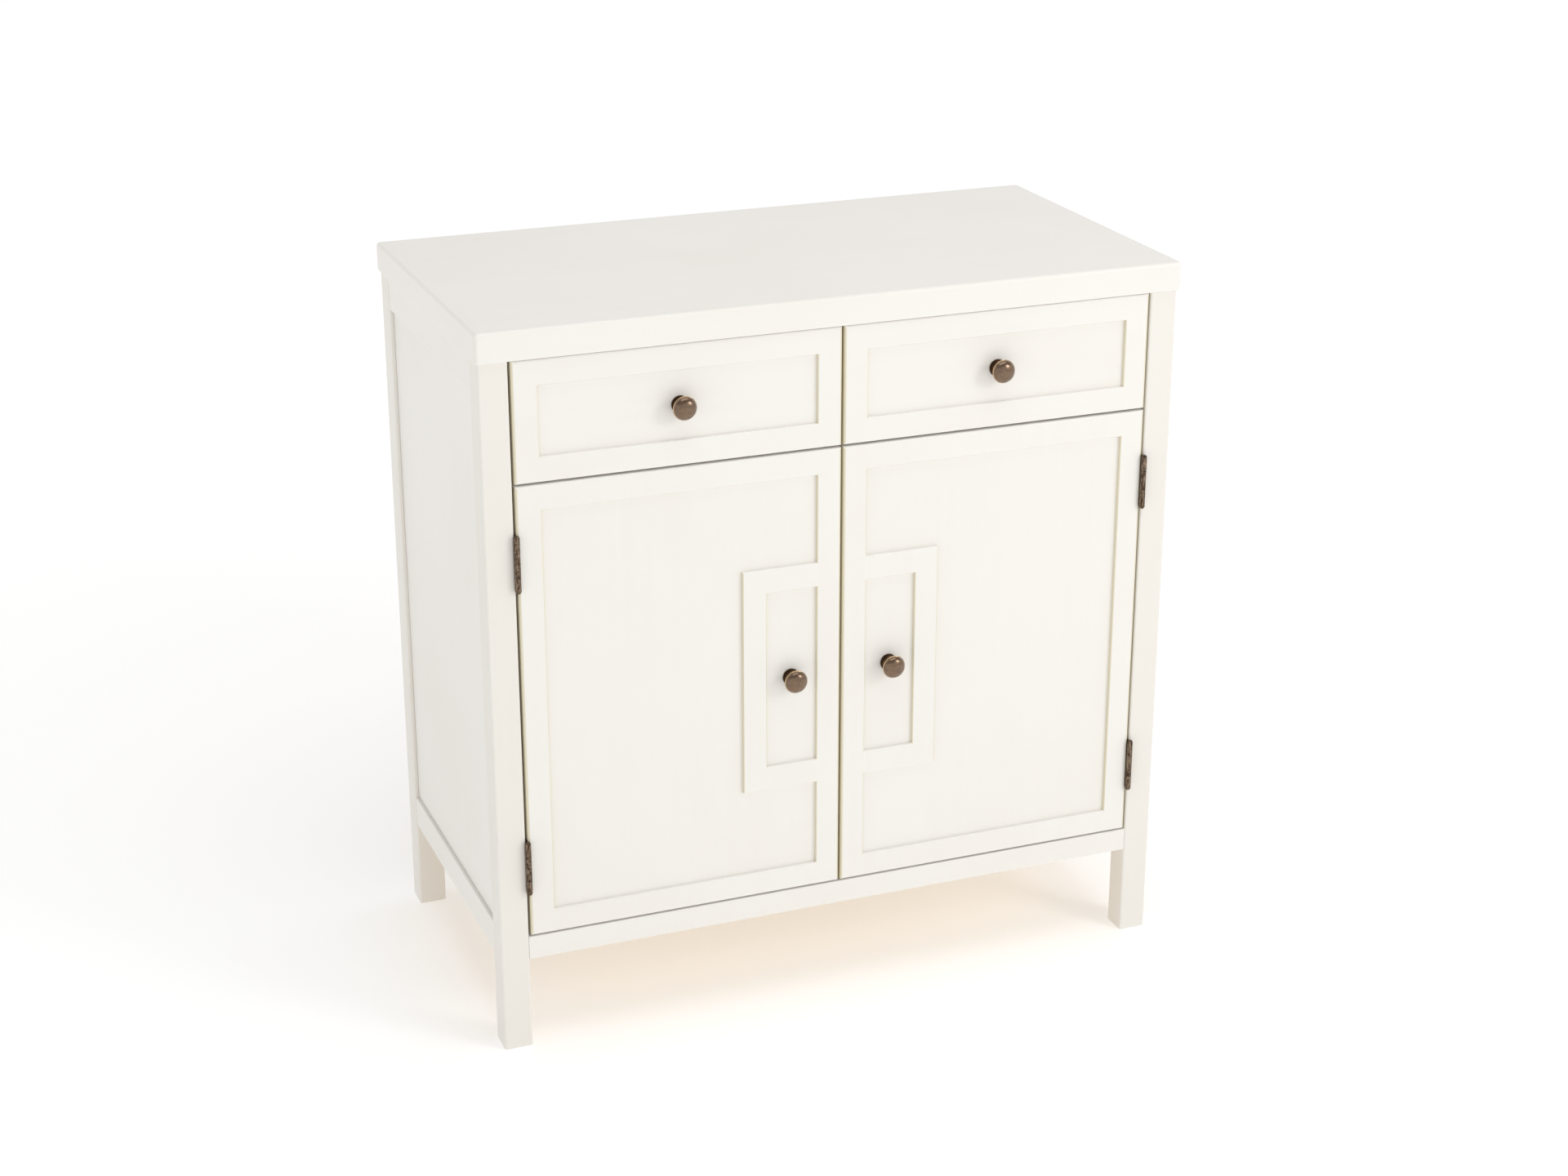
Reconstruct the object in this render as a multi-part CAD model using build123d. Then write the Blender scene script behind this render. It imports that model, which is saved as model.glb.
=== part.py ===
from build123d import *
from dataclasses import dataclass
import os

# A free-standing painted cupboard: two drawers over two doors, on four square legs.
# Front faces -Y, up is +Z, and X is the width. Everything is in millimetres.
# Pieces are drawn on the right-hand side (+X); the left-hand ones are their mirror images.

# ------------------------------------------------------------------ overall sizes
WIDTH = 800.0                 # over the top board
DEPTH = 412.0                 # top board, front to back
HEIGHT = 818.0                # floor to top surface
TOP_THICKNESS = 32.0
TOP_OVERHANG_SIDE = 3.0
TOP_OVERHANG_FRONT = 4.0      # the same at the back
TOP_EDGE_RADIUS = 4.0         # rounded upper edge of the top board
TOP_UNDER_RADIUS = 1.5        # its lower edge
TOP_CORNER_RADIUS = 4.5       # its upright corners, seen from above

# ------------------------------------------------------------------ frame
POST_SIZE = 32.0
POST_RADIUS = 2.5
FOOT_RADIUS = 1.5
LEG_CLEARANCE = 107.0         # floor to the underside of the bottom rails
RAIL_THICKNESS = 20.0
RAIL_SET_BACK = 1.0           # rail faces stand behind the post faces by this much
FRONT_RAIL_HEIGHT = 27.0
BACK_RAIL_HEIGHT = 40.0
SIDE_BOTTOM_RAIL_HEIGHT = 36.0
SIDE_TOP_RAIL_HEIGHT = 38.0
RAIL_EDGE_RADIUS = 1.0
FLAT_RAIL_THICKNESS = 18.0    # the two rails that lie flat under the top board
FLAT_RAIL_WIDTH = 45.0
TENON_THICKNESS = 10.0
FLAT_TENON_THICKNESS = 8.0
TENON_LENGTH = 15.0
TENON_SHOULDER = 5.0
TENON_HEIGHT = 20.0           # side rails, kept clear of their panel groove
MORTISE_CLEARANCE = 0.1
MORTISE_END_GAP = 0.5

# ------------------------------------------------------------------ panels and boards
SIDE_PANEL_THICKNESS = 6.0
SIDE_PANEL_RECESS = 4.0       # panel face behind the rail faces
PANEL_GROOVE_DEPTH = 8.0
PANEL_CLEARANCE = 0.2         # panel to the groove walls
PANEL_END_GAP = 0.5
BACK_PANEL_THICKNESS = 5.0
BACK_PANEL_INSET = 3.0        # back panel behind the rear faces of the posts
BOARD_THICKNESS = 15.0
BOARD_CLEARANCE = 0.2         # boards notched round the posts
DIVIDER_THICKNESS = 15.0
INNER_FRONT_GAP = 0.5         # closed doors and drawers to the boards behind them
DECK_BEARER_SIZE = (18.0, 30.0)
FLOOR_BEARER_SIZE = (15.0, 12.0)

# ------------------------------------------------------------------ door and drawer fronts
FRONT_GAP = 2.5               # gap beside and under every door and drawer front
FRONT_TOP_GAP = 1.2           # drawer fronts to the top board over them
FRONT_PROUD = 1.0             # fronts stand ahead of the post faces by this much
CORE_THICKNESS = 14.0
FACE_FRAME_DEPTH = 4.0
FACE_FRAME_WIDTH = 27.5
FRONT_EDGE_RADIUS = 2.5
WINDOW_EDGE_RADIUS = 1.2
BACK_EDGE_RADIUS = 1.0
DRAWER_FRONT_HEIGHT = 130.8
LOCK_FRAME_HEIGHT = 260.0     # raised frame round each door knob
LOCK_FRAME_REACH = 86.0       # from the meeting stile towards the hinges

# ------------------------------------------------------------------ knobs
KNOB_HEAD_RADIUS = 12.8
KNOB_BASE_RADIUS = 9.5
KNOB_NECK_RADIUS = 5.0
KNOB_PROJECTION = 24.0
KNOB_BASE_HEIGHT = 1.8
KNOB_RIM_HEIGHT = 1.4
KNOB_DOME_HEIGHT = 6.8
KNOB_HOLE_DEPTH = 13.0
KNOB_SCREW_RADIUS = 2.0
KNOB_SCREW_GRIP = 10.0        # screw length inside the knob
KNOB_SCREW_HEAD = (4.0, 2.2)  # radius, height

# ------------------------------------------------------------------ hinges
HINGE_LENGTH = 60.0
HINGE_INSET = 83.0            # door end to the middle of the nearest hinge
HINGE_LEAF_DEPTH = 16.0       # leaf behind the front face of the door
HINGE_LEAF_GAP = 0.1          # between the two closed leaves
KNUCKLE_RADIUS = 3.25
KNUCKLE_MIDDLE = 27.0         # length of the door leaf's knuckle, between the post leaf's two
KNUCKLE_END_RADIUS = 0.4
KNUCKLE_END_GAP = 0.2
KNUCKLE_FACE_GAP = 0.2        # barrel to the door face behind it
KNUCKLE_SIDE_GAP = 0.25       # barrel to the opposite leaf
HINGE_PIN_RADIUS = 1.5
HINGE_PIN_CLEARANCE = 0.05
HINGE_PIN_HEAD = (2.5, 1.6)   # radius, height
HINGE_SCREW_SPACING = 21.0
HINGE_SCREW_SET_BACK = 10.0   # screw line behind the front face of the door

# ------------------------------------------------------------------ drawer boxes
DRAWER_SIDE_THICKNESS = 12.0
DRAWER_BOX_LENGTH = 360.0
DRAWER_SIDE_GAP = 4.0         # box side to the post or divider beside it
DRAWER_BOTTOM_GAP = 4.0       # box to the deck under it
DRAWER_TOP_GAP = 6.0
DRAWER_BACK_DROP = 6.0        # back board lower than the sides
DRAWER_BOTTOM_THICKNESS = 5.0
DRAWER_BOTTOM_RISE = 8.0
DRAWER_GROOVE_DEPTH = 6.0
DRAWER_GROOVE_CLEARANCE = 0.1
RUNNER_THICKNESS = 10.0
RUNNER_HEIGHT = 16.0
RUNNER_CLEARANCE = 0.5
RUNNER_START = 2.0            # runner behind the drawer front

# ------------------------------------------------------------------ shelf, catches and screws
SHELF_HEIGHT = 383.0          # floor to the underside of the shelf
SHELF_SIDE_GAP = 1.0
SHELF_SET_BACK = 21.5
SHELF_BACK_GAP = 4.0
SHELF_PIN_RADIUS = 2.5
SHELF_PIN_LENGTH = 16.0
SHELF_PIN_DEPTH = 8.0         # length of pin inside the post
SHELF_PIN_SET_BACK = 26.0
SHELF_PIN_CLEARANCE = 0.05
SHELF_PIN_ROWS = 3
SHELF_PIN_PITCH = 32.0
CATCH_CENTRE_X = 62.0
CATCH_SIZE = (44.0, 16.0, 12.0)
MAGNET_SIZE = (22.0, 12.0, 8.0)
MAGNET_STANDOUT = 0.6
STRIKE_SIZE = (34.0, 1.0, 10.0)
STRIKE_AIR_GAP = 0.2
STRIKE_SCREW_SPACING = 22.0
CATCH_SCREW_SPACING = 34.0
CATCH_SCREW_WELL = 7.0        # depth of the wells that sink the screw heads
TOP_SCREW_PLACES = (110.0, 290.0)
NAIL_PLACES = (0.0, 160.0, 320.0)
SCREW_CLEARANCE = 0.05
SCREW_RECESS_DEPTH = 0.6      # cross recess, as a share of the head's height
SCREW_RECESS_WIDTH = 0.5      # its slots, as a share of the shank's radius


@dataclass(frozen=True)
class Screw:
    """A countersunk wood screw, or a nail with the same outline."""

    head_radius: float
    head_height: float
    radius: float
    length: float

    def solid(self, grow=0.0):
        """The screw, head at the origin and point towards -Z; grow widens the shank into a hole."""
        shank = self.radius + grow
        end = self.length + grow
        outline = Polyline(
            (0, 0),
            (self.head_radius, 0),
            (shank, -self.head_height),
            (shank, -end + shank),
            (0, -end),
            close=True,
        )
        return revolve(make_face(Plane.XZ * outline), Axis.Z)

    def driven(self, origin, outward):
        """The screw in its place, with a cross recess; outward points from its tip to its head."""
        depth = self.head_height * SCREW_RECESS_DEPTH
        width = self.radius * SCREW_RECESS_WIDTH
        recess = Box(self.head_radius, width, 2 * depth) + Box(width, self.head_radius, 2 * depth)
        return placed(self.solid() - recess, origin, outward)

    def hole(self, origin, outward):
        """The hole that the screw fills, in the same place."""
        return placed(self.solid(SCREW_CLEARANCE), origin, outward)


@dataclass(frozen=True)
class Span:
    """A box given by its two limits along each axis."""

    x: tuple
    y: tuple
    z: tuple

    def solid(self):
        """The box as a solid."""
        sizes = [abs(b - a) for a, b in (self.x, self.y, self.z)]
        middle = [(a + b) / 2 for a, b in (self.x, self.y, self.z)]
        return Pos(*middle) * Box(*sizes)

    def grown(self, x=0.0, y=0.0, z=0.0):
        """The same box, larger by the given amounts at both ends of each axis."""
        return Span(
            (self.x[0] - x, self.x[1] + x),
            (self.y[0] - y, self.y[1] + y),
            (self.z[0] - z, self.z[1] + z),
        )


# ------------------------------------------------------------------ places that follow from the sizes
CASE_DEPTH = DEPTH - 2 * TOP_OVERHANG_FRONT
POST_HEIGHT = HEIGHT - TOP_THICKNESS
POST_OUT = WIDTH / 2 - TOP_OVERHANG_SIDE
POST_IN = POST_OUT - POST_SIZE

# The origin is midway between the knob tips and the back edge of the top board.
KNOB_REACH = FRONT_PROUD + KNOB_PROJECTION - FACE_FRAME_DEPTH
FRONT = -(CASE_DEPTH + TOP_OVERHANG_FRONT - KNOB_REACH) / 2     # front faces of the posts
REAR = FRONT + CASE_DEPTH                                       # rear faces of the posts

FACE = FRONT - FRONT_PROUD                                      # front faces of doors and drawers
CORE_FACE = FACE + FACE_FRAME_DEPTH
FRONT_BACK = CORE_FACE + CORE_THICKNESS                         # rear faces of doors and drawer fronts
INNER_FRONT = FRONT_BACK + INNER_FRONT_GAP                      # front edges of the boards behind
BACK_PANEL_FACE = REAR - BACK_PANEL_INSET - BACK_PANEL_THICKNESS
BACK_RAIL_FACE = BACK_PANEL_FACE - RAIL_THICKNESS

FRONT_IN = FRONT_GAP / 2                                        # meeting edges of doors and drawers
FRONT_OUT = POST_IN - FRONT_GAP
DRAWER_FRONT_TOP = POST_HEIGHT - FRONT_TOP_GAP
DRAWER_FRONT_BOTTOM = DRAWER_FRONT_TOP - DRAWER_FRONT_HEIGHT
DOOR_TOP = DRAWER_FRONT_BOTTOM - FRONT_GAP
DOOR_BOTTOM = LEG_CLEARANCE + FRONT_RAIL_HEIGHT + FRONT_GAP
DOOR_MIDDLE = (DOOR_TOP + DOOR_BOTTOM) / 2
DRAWER_MIDDLE = (DRAWER_FRONT_TOP + DRAWER_FRONT_BOTTOM) / 2
DOOR_KNOB_X = FRONT_IN + FACE_FRAME_WIDTH + (LOCK_FRAME_REACH - FACE_FRAME_WIDTH) / 2
DRAWER_KNOB_X = (FRONT_IN + FRONT_OUT) / 2

SIDE_RAIL_OUT = POST_OUT - RAIL_SET_BACK
SIDE_RAIL_IN = SIDE_RAIL_OUT - RAIL_THICKNESS
PANEL_OUT = SIDE_RAIL_OUT - SIDE_PANEL_RECESS
PANEL_IN = PANEL_OUT - SIDE_PANEL_THICKNESS
SIDE_RAIL_TOP = LEG_CLEARANCE + SIDE_BOTTOM_RAIL_HEIGHT
TOP_RAIL_BOTTOM = POST_HEIGHT - SIDE_TOP_RAIL_HEIGHT
POST_FRONT_IN = FRONT + POST_SIZE                               # rear side of the front posts
POST_REAR_IN = REAR - POST_SIZE                                 # front side of the rear posts

DECK_BOTTOM = DRAWER_FRONT_BOTTOM - FRONT_GAP / 2 - BOARD_THICKNESS / 2
DECK_TOP = DECK_BOTTOM + BOARD_THICKNESS
FLOOR_TOP = LEG_CLEARANCE + FRONT_RAIL_HEIGHT
FLOOR_BOTTOM = FLOOR_TOP - BOARD_THICKNESS
FLAT_RAIL_BOTTOM = POST_HEIGHT - FLAT_RAIL_THICKNESS

BOX_BOTTOM = DECK_TOP + DRAWER_BOTTOM_GAP
BOX_TOP = FLAT_RAIL_BOTTOM - DRAWER_TOP_GAP
BOX_IN = DIVIDER_THICKNESS / 2 + DRAWER_SIDE_GAP
BOX_OUT = POST_IN - DRAWER_SIDE_GAP
BOX_REAR = FRONT_BACK + DRAWER_BOX_LENGTH
RUNNER_MIDDLE = (BOX_BOTTOM + BOX_TOP) / 2

HINGE_X = POST_IN - FRONT_GAP / 2
HINGE_Y = FACE - KNUCKLE_FACE_GAP - KNUCKLE_RADIUS
HINGE_HEIGHTS = (DOOR_BOTTOM + HINGE_INSET, DOOR_TOP - HINGE_INSET)
LEAF_THICKNESS = (FRONT_GAP - HINGE_LEAF_GAP) / 2

SMALL_SCREW = Screw(head_radius=3.0, head_height=LEAF_THICKNESS, radius=1.4, length=12.0)
TOP_SCREW = Screw(head_radius=4.0, head_height=2.4, radius=2.0, length=34.0)
NAIL = Screw(head_radius=2.0, head_height=1.0, radius=0.8, length=17.0)


# ------------------------------------------------------------------ helpers
def placed(shape, origin, outward):
    """Turn a shape drawn along +Z so that +Z points outward, and move it to origin."""
    return Plane(origin=origin, z_dir=outward) * shape


def mirrored(shape):
    """The left-hand twin of a right-hand piece."""
    return mirror(shape, about=Plane.YZ)


def pair(shapes):
    """A list of right-hand pieces with their left-hand twins."""
    return list(shapes) + [mirrored(shape) for shape in shapes]


def write(name, *solids):
    """Write one node to parts/NAME.step, as one solid or a group of separate solids."""
    pieces = [piece for solid in solids for piece in solid.solids()]
    shape = pieces[0] if len(pieces) == 1 else Compound(pieces)
    export_step(shape, f"parts/{name}.step")


def write_both(name, *solids):
    """Write a right-hand node and its left-hand twin."""
    write(f"right_{name}", *solids)
    write(f"left_{name}", *[mirrored(solid) for solid in solids])


def mortise(tenon, along):
    """The hole for a tenon: a little wider all round, and deeper along its length."""
    gaps = {axis: MORTISE_CLEARANCE for axis in "xyz"}
    gaps[along] = MORTISE_END_GAP
    return tenon.grown(**gaps).solid()


def rail_with_tenons(body, tenons, rounded=Axis.X):
    """A rail with its long edges eased and a tenon at each end."""
    rail = body.solid()
    rail = fillet(rail.edges().filter_by(rounded), RAIL_EDGE_RADIUS)
    for tenon in tenons:
        rail += tenon.solid()
    return rail


# ------------------------------------------------------------------ frame joints
def side_rail_tenons(z_low):
    """The front and rear tenons of a right-hand side rail; z_low is their lower face."""
    middle = (SIDE_RAIL_IN + SIDE_RAIL_OUT) / 2
    x = (middle - TENON_THICKNESS / 2, middle + TENON_THICKNESS / 2)
    z = (z_low, z_low + TENON_HEIGHT)
    return (
        Span(x, (POST_FRONT_IN - TENON_LENGTH, POST_FRONT_IN), z),
        Span(x, (POST_REAR_IN, POST_REAR_IN + TENON_LENGTH), z),
    )


def cross_rail_tenon(y, z):
    """The right-hand tenon of a rail that runs across the case."""
    return Span((POST_IN, POST_IN + TENON_LENGTH), y, z)


def centred(middle, size):
    """Two limits about a middle."""
    return (middle - size / 2, middle + size / 2)


BOTTOM_SIDE_TENONS = side_rail_tenons(LEG_CLEARANCE + TENON_SHOULDER)
TOP_SIDE_TENONS = side_rail_tenons(POST_HEIGHT - TENON_SHOULDER - TENON_HEIGHT)
FRONT_BOTTOM_RAIL = Span(
    (-POST_IN, POST_IN),
    (FRONT + RAIL_SET_BACK, FRONT + RAIL_SET_BACK + RAIL_THICKNESS),
    (LEG_CLEARANCE, LEG_CLEARANCE + FRONT_RAIL_HEIGHT),
)
BACK_BOTTOM_RAIL = Span(
    (-POST_IN, POST_IN),
    (BACK_RAIL_FACE, BACK_PANEL_FACE),
    (LEG_CLEARANCE, LEG_CLEARANCE + BACK_RAIL_HEIGHT),
)
FRONT_TOP_RAIL = Span(
    (-POST_IN, POST_IN),
    (INNER_FRONT, INNER_FRONT + FLAT_RAIL_WIDTH),
    (FLAT_RAIL_BOTTOM, POST_HEIGHT),
)
BACK_TOP_RAIL = Span(
    (-POST_IN, POST_IN),
    (BACK_PANEL_FACE - FLAT_RAIL_WIDTH, BACK_PANEL_FACE),
    (FLAT_RAIL_BOTTOM, POST_HEIGHT),
)
FLAT_TENON_Z = centred(POST_HEIGHT - FLAT_RAIL_THICKNESS / 2, FLAT_TENON_THICKNESS)
CROSS_TENONS = {
    "front_bottom_rail": cross_rail_tenon(
        centred(sum(FRONT_BOTTOM_RAIL.y) / 2, TENON_THICKNESS),
        (LEG_CLEARANCE + TENON_SHOULDER, LEG_CLEARANCE + FRONT_RAIL_HEIGHT - TENON_SHOULDER),
    ),
    "back_bottom_rail": cross_rail_tenon(
        centred(sum(BACK_BOTTOM_RAIL.y) / 2, TENON_THICKNESS),
        (LEG_CLEARANCE + TENON_SHOULDER, LEG_CLEARANCE + BACK_RAIL_HEIGHT - TENON_SHOULDER),
    ),
    "front_top_rail": cross_rail_tenon(
        (INNER_FRONT + POST_RADIUS, POST_FRONT_IN - 2 * POST_RADIUS), FLAT_TENON_Z
    ),
    "back_top_rail": cross_rail_tenon(
        (POST_REAR_IN + 2 * POST_RADIUS, BACK_PANEL_FACE - POST_RADIUS), FLAT_TENON_Z
    ),
}


# ------------------------------------------------------------------ case
def top_board():
    """The thick top board, its upper edge rounded, bored from below for its screws."""
    board = Span(
        (-WIDTH / 2, WIDTH / 2),
        (FRONT - TOP_OVERHANG_FRONT, REAR + TOP_OVERHANG_FRONT),
        (POST_HEIGHT, HEIGHT),
    ).solid()
    board = fillet(board.edges().filter_by(Axis.Z), TOP_CORNER_RADIUS)
    board = fillet(board.edges().group_by(Axis.Z)[-1], TOP_EDGE_RADIUS)
    board = fillet(board.edges().group_by(Axis.Z)[0], TOP_UNDER_RADIUS)
    return board - top_screw_holes()


def top_screw_seats():
    """The head positions of the screws that hold the top board, under the two flat rails."""
    rows = [sum(rail.y) / 2 for rail in (FRONT_TOP_RAIL, BACK_TOP_RAIL)]
    return [(x, y, FLAT_RAIL_BOTTOM) for y in rows for x in TOP_SCREW_PLACES]


def top_screw_holes():
    """Holes of the top-board screws, both sides."""
    return pair([TOP_SCREW.hole(seat, (0, 0, -1)) for seat in top_screw_seats()])


def post_blank(y):
    """A right-hand post with rounded arrises and eased foot."""
    post = Span((POST_IN, POST_OUT), y, (0, POST_HEIGHT)).solid()
    post = fillet(post.edges().filter_by(Axis.Z), POST_RADIUS)
    return fillet(post.edges().group_by(Axis.Z)[0], FOOT_RADIUS)


def panel_groove(y):
    """The groove in a post that takes an upright edge of the side panel."""
    return Span(
        (PANEL_IN - PANEL_CLEARANCE, PANEL_OUT + PANEL_CLEARANCE),
        y,
        (SIDE_RAIL_TOP - PANEL_GROOVE_DEPTH, TOP_RAIL_BOTTOM + PANEL_GROOVE_DEPTH),
    ).solid()


def shelf_pin_holes(y):
    """A short column of holes for the shelf pins in the inner face of a right-hand post."""
    middle_row = (SHELF_PIN_ROWS - 1) / 2
    drill = Cylinder(SHELF_PIN_RADIUS + SHELF_PIN_CLEARANCE, 2 * SHELF_PIN_DEPTH)
    heights = [
        SHELF_HEIGHT - SHELF_PIN_RADIUS + (row - middle_row) * SHELF_PIN_PITCH
        for row in range(SHELF_PIN_ROWS)
    ]
    return [placed(drill, (POST_IN, y, z), (1, 0, 0)) for z in heights]


def front_post():
    """The front right post, with its mortises, groove, pin holes and hinge screw holes."""
    post = post_blank((FRONT, POST_FRONT_IN))
    post -= panel_groove((POST_FRONT_IN - PANEL_GROOVE_DEPTH, POST_FRONT_IN))
    post -= mortise(BOTTOM_SIDE_TENONS[0], "y")
    post -= mortise(TOP_SIDE_TENONS[0], "y")
    post -= mortise(CROSS_TENONS["front_bottom_rail"], "x")
    post -= mortise(CROSS_TENONS["front_top_rail"], "x")
    post -= shelf_pin_holes(FRONT + SHELF_PIN_SET_BACK)
    return post - [SMALL_SCREW.hole(seat, (-1, 0, 0)) for seat in hinge_screw_seats(post_side=True)]


def back_post():
    """The rear right post, with its mortises, groove and pin holes."""
    post = post_blank((POST_REAR_IN, REAR))
    post -= panel_groove((POST_REAR_IN, POST_REAR_IN + PANEL_GROOVE_DEPTH))
    post -= mortise(BOTTOM_SIDE_TENONS[1], "y")
    post -= mortise(TOP_SIDE_TENONS[1], "y")
    post -= mortise(CROSS_TENONS["back_bottom_rail"], "x")
    post -= mortise(CROSS_TENONS["back_top_rail"], "x")
    return post - shelf_pin_holes(REAR - SHELF_PIN_SET_BACK)


def side_rail(z, tenons, groove_z):
    """A right-hand side rail with its tenons and the groove for the side panel."""
    body = Span((SIDE_RAIL_IN, SIDE_RAIL_OUT), (POST_FRONT_IN, POST_REAR_IN), z)
    groove = Span(
        (PANEL_IN - PANEL_CLEARANCE, PANEL_OUT + PANEL_CLEARANCE),
        (POST_FRONT_IN, POST_REAR_IN),
        groove_z,
    )
    return rail_with_tenons(body, tenons, Axis.Y) - groove.solid()


def side_panel():
    """The thin recessed panel between two posts and two side rails."""
    reach = PANEL_GROOVE_DEPTH - PANEL_END_GAP
    return Span(
        (PANEL_IN, PANEL_OUT),
        (POST_FRONT_IN - reach, POST_REAR_IN + reach),
        (SIDE_RAIL_TOP - PANEL_GROOVE_DEPTH, TOP_RAIL_BOTTOM + reach),
    ).solid()


def cross_rail(name, body):
    """A rail across the case, with a tenon at each end."""
    tenon = CROSS_TENONS[name]
    rail = rail_with_tenons(body, [tenon])
    return rail + mirrored(tenon.solid())


def back_panel():
    """The thin back panel between the rear posts, nailed to the rails and the drawer deck."""
    half = POST_IN - PANEL_END_GAP
    return Span(
        (-half, half),
        (BACK_PANEL_FACE, BACK_PANEL_FACE + BACK_PANEL_THICKNESS),
        (LEG_CLEARANCE, POST_HEIGHT - PANEL_END_GAP),
    ).solid() - nail_holes()


def nail_seats():
    """Head positions of the back panel's nails: a row in each rear rail and one in the deck."""
    y = BACK_PANEL_FACE + BACK_PANEL_THICKNESS
    rows = (BACK_BOTTOM_RAIL.z, (DECK_BOTTOM, DECK_TOP), BACK_TOP_RAIL.z)
    places = NAIL_PLACES + tuple(-x for x in NAIL_PLACES if x > 0)
    return [(x, y, sum(z) / 2) for z in rows for x in places]


def nail_holes():
    """The holes that the back panel's nails make."""
    return [NAIL.hole(seat, (0, 1, 0)) for seat in nail_seats()]


def notched_board(half_width, y, z_low):
    """A board that fills the case between the posts and reaches half_width beside them."""
    z = (z_low, z_low + BOARD_THICKNESS)
    middle = Span((-POST_IN + BOARD_CLEARANCE, POST_IN - BOARD_CLEARANCE), y, z)
    wings = Span(
        (-half_width, half_width),
        (POST_FRONT_IN + BOARD_CLEARANCE, POST_REAR_IN - BOARD_CLEARANCE),
        z,
    )
    return middle.solid() + wings.solid()


def drawer_deck():
    """The board between the drawers and the cupboard, with the catch screw and nail holes."""
    half_width = POST_IN + DECK_BEARER_SIZE[0]
    deck = notched_board(half_width, (INNER_FRONT, BACK_PANEL_FACE), DECK_BOTTOM)
    return deck - catch_screw_holes() - nail_holes()


def floor_board():
    """The cupboard floor, between the bottom rails."""
    return notched_board(SIDE_RAIL_IN, (FRONT_BOTTOM_RAIL.y[1], BACK_RAIL_FACE), FLOOR_BOTTOM)


def bearers():
    """Right-hand battens that carry the deck and the floor board."""
    y = (POST_FRONT_IN, POST_REAR_IN)
    deck_width, deck_height = DECK_BEARER_SIZE
    floor_width, floor_height = FLOOR_BEARER_SIZE
    deck_bearer = Span((POST_IN, POST_IN + deck_width), y, (DECK_BOTTOM - deck_height, DECK_BOTTOM))
    floor_z = (FLOOR_BOTTOM - floor_height, FLOOR_BOTTOM)
    floor_bearer = Span((SIDE_RAIL_IN - floor_width, SIDE_RAIL_IN), y, floor_z)
    return [deck_bearer.solid(), floor_bearer.solid()]


def drawer_divider():
    """The upright board between the two drawers."""
    return Span(
        centred(0, DIVIDER_THICKNESS), (INNER_FRONT, BACK_PANEL_FACE), (DECK_TOP, FLAT_RAIL_BOTTOM)
    ).solid()


def runners():
    """The two battens that a right-hand drawer slides on."""
    y = (FRONT_BACK + RUNNER_START, BACK_PANEL_FACE - RUNNER_START)
    z = centred(RUNNER_MIDDLE, RUNNER_HEIGHT)
    inner = DIVIDER_THICKNESS / 2
    return [
        Span((inner, inner + RUNNER_THICKNESS), y, z).solid(),
        Span((POST_IN - RUNNER_THICKNESS, POST_IN), y, z).solid(),
    ]


def shelf():
    """The loose shelf, resting on four pins."""
    return Span(
        (-POST_IN + SHELF_SIDE_GAP, POST_IN - SHELF_SIDE_GAP),
        (FRONT + SHELF_SET_BACK, BACK_PANEL_FACE - SHELF_BACK_GAP),
        (SHELF_HEIGHT, SHELF_HEIGHT + BOARD_THICKNESS),
    ).solid()


def shelf_pins():
    """The right-hand pins under the shelf."""
    pin = Pos(0, 0, SHELF_PIN_DEPTH - SHELF_PIN_LENGTH / 2) * Cylinder(SHELF_PIN_RADIUS, SHELF_PIN_LENGTH)
    z = SHELF_HEIGHT - SHELF_PIN_RADIUS
    places = (FRONT + SHELF_PIN_SET_BACK, REAR - SHELF_PIN_SET_BACK)
    return [placed(pin, (POST_IN, y, z), (1, 0, 0)) for y in places]


# ------------------------------------------------------------------ hinges
def hinge_screw_seats(post_side):
    """Head positions of a right-hand door's hinge screws, on the post leaf or the door leaf."""
    x = HINGE_X + HINGE_LEAF_GAP / 2 if post_side else HINGE_X - HINGE_LEAF_GAP / 2
    steps = (-HINGE_SCREW_SPACING, 0, HINGE_SCREW_SPACING)
    return [(x, FACE + HINGE_SCREW_SET_BACK, z + step) for z in HINGE_HEIGHTS for step in steps]


def knuckles(radius, post_side, end_gap):
    """The barrel parts of one leaf: an end pair on the post leaf, the middle one on the door leaf."""
    end, split = HINGE_LENGTH / 2, KNUCKLE_MIDDLE / 2
    limits = [(-end, -split), (split, end)] if post_side else [(-split, split)]
    return [Pos(0, 0, (low + high) / 2) * Cylinder(radius, high - low - end_gap) for low, high in limits]


def hinge_leaf(post_side):
    """One leaf, its pin axis on local Z, reaching back along +Y; post leaf at +X, door leaf at -X."""
    side = 1 if post_side else -1
    reach = FACE + HINGE_LEAF_DEPTH - HINGE_Y
    inner = side * HINGE_LEAF_GAP / 2
    outer = side * (HINGE_LEAF_GAP / 2 + LEAF_THICKNESS)
    plate = Span((inner, outer), (0, reach), centred(0, HINGE_LENGTH - KNUCKLE_END_GAP)).solid()
    plate -= knuckles(KNUCKLE_RADIUS + KNUCKLE_SIDE_GAP, not post_side, -KNUCKLE_END_GAP)
    barrel = knuckles(KNUCKLE_RADIUS, post_side, KNUCKLE_END_GAP)
    leaf = plate + [fillet(part.edges().filter_by(GeomType.CIRCLE), KNUCKLE_END_RADIUS) for part in barrel]
    return leaf - Cylinder(HINGE_PIN_RADIUS + HINGE_PIN_CLEARANCE, 2 * HINGE_LENGTH)


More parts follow.
